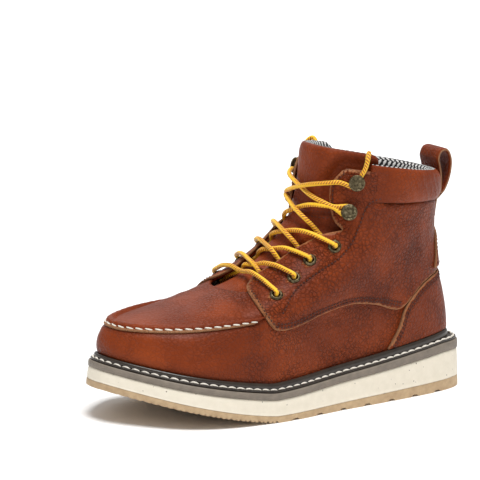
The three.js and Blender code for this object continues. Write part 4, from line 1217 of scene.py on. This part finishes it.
def quarter_outline(side):
    front = curve([*TAB_FRONT, *FACING_LOW], 1.0)
    notch_line = curve([FACING_LOW[-1], NOTCH[0], NOTCH[1]], 1.0)
    notch_top = curve([NOTCH[1], NOTCH[2], *FACING_HIGH], 1.0)
    behind = [(x + PIECE_GAP, z + PIECE_GAP) for x, z in COUNTER_EDGE[:2:-1]]
    foot = curve([*behind, *QUARTER_FOOT[::-1], TAB_FRONT[0]], 1.0)
    front = locate(np.vstack([front, notch_line[1:], notch_top[1:]]), 1)
    foot = locate(foot, 1)
    corner = front[-1]
    collar = np.stack([
        np.linspace(corner[0], COLLAR_LEVEL, 12),
        np.linspace(corner[1], corner[1] + EAR_LEAN, 12),
    ], 1)[1:]
    t = np.linspace(corner[1] + EAR_LEAN, 2.2, 200)
    ear_end = t[skin(np.full(200, COLLAR_LEVEL), t)[:, 0] > CUFF_FRONT][-1]
    ear = np.array([[COLLAR_LEVEL, ear_end], [COLLAR_LEVEL, ear_end + PAD_TUCK]])
    low = CUFF_LEVEL - 0.07
    back = level_at(COUNTER_BACK + 0.8, np.pi)
    seam = np.pi - BACK_SEAM
    rest = np.array([[low, ear_end + PAD_TUCK], [low, seam], [back, seam]])
    ring = np.vstack([front, collar, ear, rest, foot])
    ring[:, 1] *= side
    return ring


def inset(spots, distance):
    """A line on the skin beside another, a distance to its left as seen from outside."""
    p = skin(spots[:, 0], spots[:, 1])
    n = normal(spots[:, 0], spots[:, 1])
    along = unit(np.gradient(p, axis=0))
    target = p + np.cross(n, along) * distance
    v = spots[:, 0].copy()
    theta = spots[:, 1].copy()
    for _ in range(6):
        q, pv, pt = slopes(v, theta)
        miss = target - q
        a, b, c = (pv * pv).sum(1), (pv * pt).sum(1), (pt * pt).sum(1)
        e, f = (pv * miss).sum(1), (pt * miss).sum(1)
        det = a * c - b * b
        v = v + (e * c - f * b) / det
        theta = theta + (f * a - e * b) / det
    return np.stack([v, theta], 1)


ROW_INSET = -2.4  # from an edge to its stitches, to the right as seen from outside
SECOND_ROW = -2.2
EYESTAY_LINE = (
    (188, 78), (174, 92), (158, 101.5), (145, 108), (132, 115), (121, 126), (114, 139), (110, 150),
    (105, 155), (98, 157),
)


def drawn(points):
    """A line of the side view, as (level, angle)."""
    return locate(curve(points, 1.0), 1)


def quarter_stitches(side):
    """Stitch lines on a quarter, as (level, angle)."""
    foot = drawn(QUARTER_FOOT[::-1])
    tab = drawn([QUARTER_FOOT[0], *TAB_FRONT, FACING_LOW[0]])
    lines = [
        inset(foot, ROW_INSET), inset(foot, 2 * ROW_INSET), inset(tab, ROW_INSET),
        drawn(EYESTAY_LINE), inset(drawn(FACING_HIGH), ROW_INSET),
    ]
    for line in lines:
        line[:, 1] *= side
    return lines


def quarter_rim(v, theta):
    """The cut edge shows all round a quarter, except under the cuff and where the backs meet."""
    under_cuff = (v > CUFF_LEVEL - 0.3) & (np.abs(theta) > cuff_ends()[0] - 0.03)
    return np.where(under_cuff | (np.abs(theta) > np.pi - 0.06), 0.0, 1.0)


GROOVE_WIDTH = 0.9
GROOVE_DEPTH = 0.35


def stitched(seats, dark, table=()):
    """Relief of a panel with creases and with lines pressed in by its stitches, darkened there with painted
    shadow.
    """
    def relief(v, theta, p):
        height = creases(p, table)
        gaps = [gap_to(p, seat) for seat in seats]
        for gap in gaps:
            height = height - GROOVE_DEPTH * np.exp(-(gap / GROOVE_WIDTH) ** 2)
        # painted shade along the stitch grooves
        return height, dark * np.exp(-(np.min(gaps, axis=0) / GROOVE_WIDTH) ** 2)
    return relief


def build_quarters():
    rows = []
    for name, side in SIDES:
        lines = quarter_stitches(side)
        seats = [skin(line[:, 0], line[:, 1]) for line in lines]
        panel(
            "quarter_panel_" + name, "quarter_" + name, quarter_outline(side), GAP * 0.5, LEATHER,
            fitting_holes(name), 1.8, stitched(seats, 0.55, QUARTER_CREASES), rim=quarter_rim,
        )
        rows.extend(lifted(line, LEATHER - THREAD_SEAT) for line in lines)
    thread("quarter_stitching", rows, BROWN_STITCH, BROWN_THREAD, sides=5)


# Counter and backstay

def mirrored(line):
    """A line over to the other side of the heel, walked backwards."""
    return line[::-1] * (1, -1) + (0, 2 * np.pi)


def counter_rim(v, theta):
    return np.where(v < 0.9, 0.0, 1.0)


def build_counter():
    edge = drawn(COUNTER_EDGE)
    back = level_at(COUNTER_BACK, np.pi)
    join = lerp(edge[-1], np.array([back, np.pi]), np.linspace(0, 1, 60)[1:, None])
    side = np.vstack([edge, join])
    low = 0.7  # the level of its foot, inside the welt's bead
    start = locate([(COUNTER_EDGE[0][0] + 1.9, COUNTER_EDGE[0][1] - 3.3)], 1)
    start[0, 0] = low
    foot = np.stack([np.full(120, low), np.linspace(2 * np.pi - start[0, 1], start[0, 1], 120)], 1)
    ring = np.vstack([side, mirrored(side)[1:], foot])
    line = inset(side, ROW_INSET)
    both = np.vstack([line, mirrored(line)[1:]])
    inner = inset(both, SECOND_ROW)
    seats = [skin(row[:, 0], row[:, 1]) for row in (both, inner)]
    face = GAP + COUNTER_THICK
    panel(
        "heel_counter", "counter", ring, GAP * 0.5, face, (), 1.8, stitched(seats, 0.3), grain=0.8,
        rim=counter_rim,
    )
    rows = [lifted(line, face - THREAD_SEAT) for line in (both, inner)]
    thread("counter_stitching", rows, BROWN_STITCH, BROWN_THREAD, sides=5)


def back_spot(y, z):
    """The level and angle of the heel's face at (y, z) of the rear view."""
    theta = np.linspace(np.pi - 1.2, np.pi + 1.2, 241)
    level = np.array([level_at(z, t) for t in theta])
    p = skin(level, theta)
    k = np.argsort(p[:, 1])
    angle = float(np.interp(y, p[k, 1], theta[k]))
    return level_at(z, angle), angle


def build_backstay():
    rows = [(aside * HALF, HEEL_STACK + up * SHAFT_HEIGHT) for aside, up in BACKSTAY_EDGE]
    half = [back_spot(y, z) for y, z in rows]
    other = [back_spot(-y, z) for y, z in rows[::-1]]
    ring = np.array(half + other)
    base = 2 * GAP + OVERLAY
    panel("backstay_patch", "backstay", ring, base - 0.2, base + BACKSTAY_THICK, (), 1.5, grain=0.8)
    closed = evenly(np.vstack([ring, ring[:1]]), 0.02)
    middle = ring.mean(0)
    line = lerp(closed, middle, 0.14)
    row = lifted(line, base + BACKSTAY_THICK - 0.1)
    thread("backstay_stitching", [row], FINE_STITCH, BROWN_THREAD, sides=5)


# Padded cuff

CUFF_PROFILE = (  # share of the pad outside (+) or inside (-), level
    (0.3, 9.07), (0.6, 9.11), (0.86, 9.24), (1.0, 9.44), (0.98, 9.62), (0.84, 9.8), (0.56, 9.95),
    (0.15, 10.04), (-0.45, 10.04), (-0.85, 9.92), (-1.0, 9.7), (-0.85, 9.47), (-0.5, 9.38), (-0.4, 9.36),
    (-0.05, 9.6), (0.05, 9.6),
)
CUFF_SCALE = (6, 12)  # millimetres of the profile's two shares
CUFF_WRINKLE = 0.22
CUFF_LEATHER = 0.47  # share of the profile's length that is leather, from the foot outside


def cuff_ends():
    ends = []
    for _, side in SIDES:
        t = np.arange(0.3, 2.8, 0.005)
        x = skin(np.full(t.size, 9.5), t * side)[:, 0]
        ends.append(t[x > CUFF_FRONT][-1])
    return ends


def build_cuff():
    near, far = cuff_ends()
    around = 300
    u = np.linspace(0, 1, around)
    theta = lerp(near, 2 * np.pi - far, u)
    share = smooth(np.minimum(u, 1 - u) * 8)
    profile = evenly(curve(np.array(CUFF_PROFILE) * CUFF_SCALE, 0.05), 0.6) / CUFF_SCALE
    rows = len(profile)
    out = np.tile(profile[:, 0], (around, 1))
    v = np.tile(profile[:, 1], (around, 1))
    angle = np.tile(theta[:, None], (1, rows))
    size = np.tile(share[:, None], (1, rows))
    flush = (LEATHER - PAD_SINK) * np.clip(out / 0.4, 0, 1)
    lining = out * CUFF_IN * size - WALL * np.clip(-2 * out, 0, 1)
    distance = np.where(out > 0, lerp(flush, out * CUFF_OUT, size), lining)
    wrinkle = np.sin(angle * 31 + 3 * np.sin(v * 4)) * np.sin(angle * 11 + v * 3)
    distance = distance + CUFF_WRINKLE * wrinkle * smooth((out - 0.2) / 0.4)
    points = off(v.ravel(), angle.ravel(), distance.ravel())
    faces = grid(around, rows, True).tolist()
    leather_rows = int(CUFF_LEATHER * rows)
    marks = [0 if (k % rows) < leather_rows else 1 for k in range(len(faces))]
    faces.extend(end_faces(around, rows))
    marks.extend([0, 0])
    p = skin(np.full(around, 9.8), theta)
    run = distances(p)
    along = distances(profile * CUFF_SCALE)
    uv = np.stack(np.meshgrid(run, along, indexing="ij"), -1).reshape(-1, 2)
    # painted shadow line along the pad's foot
    foot = np.exp(-((v.ravel() - CUFF_PROFILE[0][1]) / 0.05) ** 2)
    piece = make(
        "collar_pad", points, faces, [LEATHER_LOOK, WOVEN], marks=marks, uv=uv,
        values={"grain": np.full(len(points), 0.45), "painted_shade": 0.3 * foot},
    )
    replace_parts(piece, "cuff")


# Tongue

TONGUE_SEAM = 8.55     # level of the cross seam below the padded top
TONGUE_ACROSS_MM = 45  # millimetres of a radian, roughly


def build_tongue():
    across = 90
    up = 150
    levels = np.linspace(*TONGUE_LEVELS, up)
    share = np.linspace(-1, 1, across)
    v = np.repeat(levels[:, None], across, 1)
    top = TONGUE_LEVELS[1]
    corner = np.sqrt(np.clip(1 - np.clip((levels - (top - 0.42)) / 0.43, 0, 1) ** 2, 0, 1))
    reach = tongue_theta(levels) - 0.24 * (1 - corner)
    theta = share[None, :] * reach[:, None]
    full = TONGUE_THICK * lerp(1, 1.7, smooth((v - 9.3) / 0.8))
    out = tongue_out(v.ravel(), theta.ravel()).reshape(v.shape)
    end = np.clip((top - v) / 0.3, 0, 1)
    thick = full * lerp(0.25, 1, np.sqrt(1 - (1 - end) ** 2))
    side = np.sqrt(np.clip(1 - np.clip((np.abs(share) - 0.93) / 0.07, 0, 1) ** 2, 0, 1))
    thick = thick * (0.3 + 0.7 * side)[None, :]
    seam = np.exp(-((v - TONGUE_SEAM) / 0.06) ** 2)
    pad = smooth((v - TONGUE_SEAM) / 0.3) * (1 - share[None, :] ** 4)
    folds = 0.5 * np.sin(v * 9 + 2.2 * theta) * smooth((TONGUE_SEAM - v) / 0.4) * smooth((v - 5.9) / 0.4)
    face = out - (full - thick) / 2 - 0.7 * seam + 0.9 * pad + folds
    back = out - (full + thick) / 2
    outer = off(v.ravel(), theta.ravel(), face.ravel())
    inner = off(v.ravel(), theta.ravel(), back.ravel())
    n = len(outer)
    lattice = grid(up, across)
    faces = lattice.tolist() + (lattice[:, ::-1] + n).tolist()
    marks = [0] * len(lattice) + [1] * len(lattice)
    last = (up - 1) * across
    ring = [
        *range(across), *range(2 * across - 1, last + across, across),
        *range(last + across - 2, last - 1, -1), *range(last - across, 0, -across),
    ]
    for a, b in zip(ring, ring[1:] + ring[:1]):
        faces.append([a, b, b + n, a + n])
        marks.append(1)
    uv = np.vstack([np.stack([theta.ravel() * TONGUE_ACROSS_MM, v.ravel() * LEVEL_MM], 1)] * 2)
    # painted shade along the tongue's cross seam
    piece = make(
        "tongue_pad", np.vstack([outer, inner]), faces, [LEATHER_LOOK, WOVEN], marks=marks, uv=uv,
        values={"grain": np.full(2 * n, 0.4), "painted_shade": np.tile(0.35 * seam.ravel(), 2)},
    )
    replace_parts(piece, "tongue")
    rows = []
    for level in (TONGUE_SEAM - 0.1, TONGUE_SEAM + 0.1):
        t = np.linspace(-0.8, 0.8, 80)
        w = np.full(80, level)
        rows.append((off(w, t, tongue_out(w, t) - 0.15), normal(w, t)))
    thread("tongue_stitching", rows, FINE_STITCH, BROWN_THREAD, sides=5)


# Pull loop

LOOP_PATH = (  # behind, up: shares of the loop's depth and rise
    (0, 0), (0.02, 0.19), (0.02, 0.39), (-0.12, 0.61), (-0.3, 0.82), (0.02, 0.98),
    (0.59, 0.98), (0.97, 0.8), (0.99, 0.54), (0.72, 0.27), (0.34, 0.08), (-0.1, -0.03),
)
LOOP_STEPS = 16  # across the strap


def build_loop():
    foot = skin(CUFF_LEVEL, np.pi)
    front = foot[0] - CUFF_OUT - GAP - LOOP_THICK / 2
    middle = curve([(front - behind * LOOP_DEPTH, foot[2] + up * LOOP_RISE) for behind, up in LOOP_PATH], 0.7)
    tail_levels = np.linspace(level_at(foot[2] - 1.8, np.pi), level_at(foot[2] - 17, np.pi), 16)
    tail_out = 2 * GAP + OVERLAY + LOOP_THICK / 2
    tail = off(tail_levels, np.pi, tail_out)[:, [0, 2]]
    middle = evenly(np.vstack([middle, tail[1:]]), 0.8)
    t = unit(np.gradient(middle, axis=0))
    side = np.stack([-t[:, 1], t[:, 0]], 1)
    half = LOOP_WIDTH / 2
    thick = LOOP_THICK / 2
    section = []
    for k in range(LOOP_STEPS + 1):
        y = lerp(-half, half, k / LOOP_STEPS)
        edge = 1 - 0.45 * max(0, (abs(y) - (half - 0.9)) / 0.9) ** 2
        section.append((y, thick * edge))
    section.extend([(y, -h) for y, h in reversed(section)])
    rows = []
    run = np.arange(len(middle)) * 0.8
    narrow = 1 - 0.25 * smooth((run - run[-1] + 16) / 16)
    for y, h in section:
        p = middle + side * h
        crown = -0.5 * (1 - (y / half) ** 2)
        p = p + side * crown * 0.3
        rows.append(np.stack([p[:, 0], y * narrow, p[:, 1]], 1))
    columns = len(rows)
    points = np.stack(rows, 1).reshape(-1, 3)
    faces = grid(len(middle), columns, True).tolist()
    marks = [1 if (k % columns) in (LOOP_STEPS, columns - 1) else 0 for k in range(len(faces))]
    faces.extend(end_faces(len(middle), columns))
    marks.extend([1, 1])
    values = {"grain": np.full(len(points), 0.6), "painted_shade": np.zeros(len(points))}
    piece = make("pull_strap", points, faces, [LEATHER_LOOK, RAW_EDGE], marks=marks, values=values)
    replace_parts(piece, "pull_loop")


# Hardware

def turned(name, node, profile, spot, sides=40):
    p, n = (a[0] for a in lifted([spot], 0))
    helper = np.array([0.0, 0.0, 1.0])
    one = unit(np.cross(n, helper))
    two = np.cross(n, one)
    phi = ring_angles(sides)
    ring = np.cos(phi)[:, None] * one + np.sin(phi)[:, None] * two
    profile = np.asarray(profile, float)
    points = np.vstack([p + ring * r + n * h for r, h in profile])
    faces = grid(len(profile), sides, True).tolist()
    if profile[0, 0] > 0.2:
        last = (len(profile) - 1) * sides
        faces.extend([k, (k + 1) % sides, last + (k + 1) % sides, last + k] for k in range(sides))
    else:
        faces.extend(end_faces(len(profile), sides))
    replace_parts(make(name, points, faces, [BRASS]), node)


def build_hardware():
    top = LEATHER + 0.15
    eyelet = curve((
        (EYELET_HOLE, -WALL - 1.0), (EYELET_HOLE, -1), (EYELET_HOLE, LEATHER),
        (EYELET_HOLE + 0.25, top + 0.9), (EYELET_HOLE + 0.9, top + 1.35), (EYELET_FLANGE - 0.9, top + 1.1),
        (EYELET_FLANGE, top + 0.25), (EYELET_FLANGE - 0.4, top), (EYELET_BARREL + 0.1, top),
        (EYELET_BARREL, LEATHER - 1), (EYELET_BARREL, -WALL - 1.0),
    ), 0.3)
    head = LEATHER + HOOK_RISE
    hook = curve((
        (0.15, -WALL - 1), (HOOK_STEM, -WALL - 0.9), (HOOK_STEM, LEATHER), (HOOK_BASE - 0.5, LEATHER + 0.1),
        (HOOK_BASE, LEATHER + 0.4), (HOOK_BASE - 0.7, LEATHER + 1.1), (HOOK_NECK + 0.3, LEATHER + 1.4),
        (HOOK_NECK, LEATHER + 2.2), (HOOK_NECK, head - 0.5), (HOOK_NECK + 0.5, head),
        (HOOK_HEAD - 0.6, head + 0.05), (HOOK_HEAD, head + 0.6), (HOOK_HEAD - 0.4, head + 1.35),
        (HOOK_HEAD - 1.1, head + 1.5), (HOOK_HEAD - 1.5, head + 1.15), (HOOK_HEAD - 2.2, head + 1.05),
        (2, head + 1.2), (0.15, head + 1.25),
    ), 0.3)
    for name, _ in SIDES:
        for k, spot in enumerate(SPOTS[name]["eyelets"], 1):
            turned(f"eyelet_ring_{name}_{k}", f"eyelet_{name}_{k}", eyelet, spot)
        for k, spot in enumerate(SPOTS[name]["hooks"], 1):
            turned(f"hook_button_{name}_{k}", f"hook_{name}_{k}", hook, spot)


# Lace

IN = -TONGUE_DEEP + LACE_RADIUS + 0.45
OVER = LEATHER + LACE_RADIUS + 0.6
CLEAR = LACE_RADIUS + 1.1
CROSS_STEPS = (0.09, 0.17, 0.25, 0.33, 0.41, 0.5, 0.59, 0.67, 0.75, 0.83, 0.91)
CROSS_LIFT = LACE_DIAMETER - 0.4
HOOK_OUT = LEATHER + 1.4 + LACE_RADIUS + 0.25
WRAP = HOOK_NECK + LACE_RADIUS + 0.3


def at(spot, out):
    return off(np.array([spot[0]]), np.array([spot[1]]), np.array([float(out)]))[0]


def taut(a, b, t):
    """The level and angle where a taut run from one spot to another lies on the boot."""
    pa = at(a, 0)
    pb = at(b, 0)
    lift = normal(np.array([lerp(a[0], b[0], 0.5)]), np.array([0.0]))[0]
    lift[1] = 0
    lift = unit(lift)
    level = np.array([-lift[2], 0, lift[0]])
    chord = lerp(pa, pb, t)
    v = lerp(a[0], b[0], t)
    theta = lerp(a[1], b[1], t)
    for _ in range(30):
        p, pv, pt = slopes(v, theta)
        miss = chord - p
        m = (pv @ level, pt @ level, pv[1], pt[1])
        det = m[0] * m[3] - m[1] * m[2]
        across = miss @ level
        v = np.clip(v + np.clip((across * m[3] - miss[1] * m[1]) / det, -0.3, 0.3), 0.5, 10.8)
        theta = np.clip(theta + np.clip((miss[1] * m[0] - across * m[2]) / det, -0.15, 0.15), -1.6, 1.6)
    return v, theta


def across_run(a, b, under, lift):
    points = []
    for t in CROSS_STEPS:
        v, theta = taut(a, b, t)
        reach = abs(theta) / float(facing_theta(v, -1 if theta < 0 else 1))
        vamp = reach < 1 and at((v, theta), 0)[2] < THROAT_FOOT + VAMP_MARGIN
        under_it = float(tongue_out(np.array(v), np.array(theta)))
        low = (0 if vamp else under_it) + CLEAR
        middle = float(tongue_out(np.array(v), np.array(0.0)))
        high = lerp(middle + CLEAR, OVER + 1.2 * smooth(reach - 1), smooth(reach / 0.95))
        out = max(IN, low) if t < 0.5 and under else max(low, high)
        points.append(at((v, theta), out + lift * smooth(1 - abs(2 * t - 1) * 1.4)))
    return points


def wrap(spot, a0, a1, count):
    """Points round a hook's neck, in the plane of the leather."""
    v, theta = spot
    n = lifted([spot], 0)[1][0]
    away = at((v, theta + 0.05 * np.sign(theta)), 0) - at(spot, 0)
    away = unit(away - n * (away @ n))
    up = np.array([0.0, 0.0, 1.0])
    up = unit(up - n * n[2] - away * away[2])
    phi = np.linspace(a0, a1, count)
    return [at(spot, HOOK_OUT) + away * WRAP * math.cos(a) + up * WRAP * math.sin(a) for a in phi]


def out_of(spot):
    return [at(spot, d) for d in (0.2, -1.6, -3.4, IN + 0.6)]


def into(spot):
    return [at(spot, d) for d in (OVER + 1.6, 3.5, 1.6)]


def lace_path():
    """One lace: from the far top hook down one side of the crossings, over the bar, and up the other."""
    near = SPOTS["lateral"]
    far = SPOTS["medial"]

    def half(start):
        here, there = (near, far) if start == "near" else (far, near)
        points = []
        for k in range(3):
            lift = CROSS_LIFT if here is near else 0
            points += out_of(here["eyelets"][k])
            points += across_run(here["eyelets"][k], there["eyelets"][k + 1], True, lift)
            points += into(there["eyelets"][k + 1])
            here, there = there, here
        hook = there["hooks"][0]
        after = here["hooks"][1]
        lift = CROSS_LIFT if here is near else 0
        points += out_of(here["eyelets"][3])
        points += across_run(here["eyelets"][3], hook, True, lift)
        points += wrap(hook, -1.6, 1.5, 5)
        points += across_run(hook, after, False, lift + 0.6)
        points += wrap(after, -1.6, 0.9, 4)
        return points, "lateral" if here is near else "medial"

    bar = [at(far["eyelets"][0], d) for d in (1.8, 3.5, OVER + 1.6)]
    bar += across_run(far["eyelets"][0], near["eyelets"][0], False, 1.2)
    bar += [at(near["eyelets"][0], d) for d in (OVER + 1.6, 3.5, 1.8)]
    first, first_side = half("far")
    second, second_side = half("near")
    return first[::-1] + bar + second, ((first, first_side), (second, second_side))


BRAID_STEP = 0.55    # millimetres between rings
BRAID_TWIST = 0.035  # radians a millimetre
STRAND_PITCH = 1.3   # millimetres
STRANDS = 3          # each way round
STRAND_SWELL = 0.03  # share of the radius


def braid(name, line, sides=18):
    """A round braided cord along a line of points."""
    p = evenly(line, BRAID_STEP)
    along = unit(np.gradient(p, axis=0))
    frames = np.empty_like(p)
    frames[0] = unit(np.cross(along[0], [0.3, 0.2, 0.9]))
    for k in range(1, len(p)):
        f = frames[k - 1] - along[k] * (frames[k - 1] @ along[k])
        frames[k] = f / np.linalg.norm(f)
    other = np.cross(along, frames)
    run = np.arange(len(p)) * BRAID_STEP
    phi = np.linspace(0, 2 * np.pi, sides + 1)
    turn = phi[None, :] + (run * BRAID_TWIST)[:, None]
    lay = 2 * np.pi * run[:, None] / STRAND_PITCH
    strands = np.cos(STRANDS * phi[None, :] + lay) * np.cos(STRANDS * phi[None, :] - lay)
    radius = LACE_RADIUS * (1 + STRAND_SWELL * strands)
    points = p[:, None, :] + radius[..., None] * (
        np.cos(turn)[..., None] * frames[:, None, :] + np.sin(turn)[..., None] * other[:, None, :]
    )
    uv = np.stack(np.broadcast_arrays(phi[None, :] / (2 * np.pi), run[:, None]), -1)
    columns = sides + 1
    faces = grid(len(p), columns).tolist()
    faces.append(list(range(sides)))
    faces.append(list(range((len(p) - 1) * columns, (len(p) - 1) * columns + sides)))
    return make(name, points.reshape(-1, 3), faces, [LACE_LOOK], uv=uv.reshape(-1, 2), weld=True)


def build_lace():
    path, ends = lace_path()
    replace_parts(braid("boot_lace", curve(path, 0.5)), "laces")
    for points, name in ends:
        side = dict(SIDES)[name]
        hook = SPOTS[name]["hooks"][1]
        tip = points[-1]
        end = [
            tip,
            at((9.95, hook[1] + side * 0.1), OVER + 0.6),
            at((10.25, hook[1] + side * 0.12), OVER - 0.8),
            at((10.4, hook[1] + side * 0.14), -0.5),
            at((10.2, hook[1] + side * 0.15), -WALL - LACE_RADIUS - 0.9),
        ]
        line = curve(np.vstack([points[-2:-1], end]), 0.5)
        near = np.argmin(np.linalg.norm(line - tip, axis=1))
        line = line[near:]
        tail = braid("lace_tip_" + name, line)
        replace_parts(tail, "lace_end_" + name)


# Stage: a pale floor, a white world, a soft sun from above and a soft panel behind, in metres

FLOOR_HALF = 6.0
WORLD_STRENGTH = 0.38
KEY_TOWARD = (0.1, 0.26, 1.0)
KEY_SPREAD = 30  # degrees
KEY_STRENGTH = 3.3
BACK_PLACE = (-0.5, -1.5, 1.15)
BACK_AIM = (0, 0, 0.08)
BACK_SIZE = 1.4
BACK_POWER = 5


def build_stage():
    mesh = bpy.data.meshes.new("floor")
    size = FLOOR_HALF
    corners = [(-size, -size, 0), (size, -size, 0), (size, size, 0), (-size, size, 0)]
    mesh.from_pydata(corners, [], [(0, 1, 2, 3)])
    mesh.materials.append(Shader("floor_white").finish(tint(250, 250, 250), 0.9))
    placed("floor", mesh)
    world = bpy.data.worlds.new("studio")
    bpy.context.scene.world = world
    world.use_nodes = True
    background = world.node_tree.nodes["Background"]
    background.inputs["Color"].default_value = (1, 1, 1, 1)
    background.inputs["Strength"].default_value = WORLD_STRENGTH
    bpy.context.scene.view_settings.view_transform = "Standard"
    add_lamp("key", "SUN", Vector(KEY_TOWARD), KEY_STRENGTH, angle=math.radians(KEY_SPREAD))
    place = Vector(BACK_PLACE)
    lamp = add_lamp("back_panel", "AREA", place - Vector(BACK_AIM), BACK_POWER, shape="DISK", size=BACK_SIZE)
    lamp.location = place


def add_lamp(name, kind, toward, power, **settings):
    """A light that shines from the direction toward, as seen from the boot."""
    light = bpy.data.lights.new(name, kind)
    light.energy = power
    for key, value in settings.items():
        setattr(light, key, value)
    lamp = placed(name, light)
    lamp.rotation_mode = "QUATERNION"
    lamp.rotation_quaternion = (-toward).to_track_quat("-Z", "Y")
    return lamp


# Camera, at the photograph's angle to the boot

CAMERA_TURN = 34.4      # degrees from +Y towards +X
CAMERA_RISE = 11.79
CAMERA_ROLL = 1.71
CAMERA_FAR = 3034       # millimetres
PIVOT = (150, 0, 90)
PIXELS_PER_MM = 1.34
PIVOT_PIXEL = (290.4, 282.9)
FRAME_PIXELS = 480
SENSOR = 36


def build_camera():
    a, e, r = (math.radians(x) for x in (CAMERA_TURN, CAMERA_RISE, CAMERA_ROLL))
    back = np.array([math.sin(a) * math.cos(e), math.cos(a) * math.cos(e), math.sin(e)])
    right = np.array([-math.cos(a), math.sin(a), 0.0])
    up = np.cross(back, right)
    right, up = right * math.cos(r) + up * math.sin(r), up * math.cos(r) - right * math.sin(r)
    place = np.array(PIVOT) + back * CAMERA_FAR
    middle = FRAME_PIXELS / 2
    aim = (
        np.array(PIVOT)
        - right * (PIVOT_PIXEL[0] - middle) / PIXELS_PER_MM
        + up * (PIVOT_PIXEL[1] - middle) / PIXELS_PER_MM
    )
    look = unit(place - aim)
    right = unit(right - look * (right @ look))
    up = np.cross(look, right)
    data = bpy.data.cameras.new("camera")
    data.sensor_width = SENSOR
    data.lens = PIXELS_PER_MM * CAMERA_FAR * SENSOR / FRAME_PIXELS
    data.clip_end = 50
    camera = placed("camera", data)
    turn = Matrix([[right[k], up[k], look[k]] for k in range(3)])
    camera.matrix_world = Matrix.Translation(Vector(to_row(place))) @ turn.to_4x4()
    bpy.context.scene.camera = camera


build_camera()
build_stage()
build_sole()
build_welt()
build_insole()
build_upper()
build_seam()
build_quarters()
build_counter()
build_backstay()
build_cuff()
build_tongue()
build_loop()
build_hardware()
build_lace()
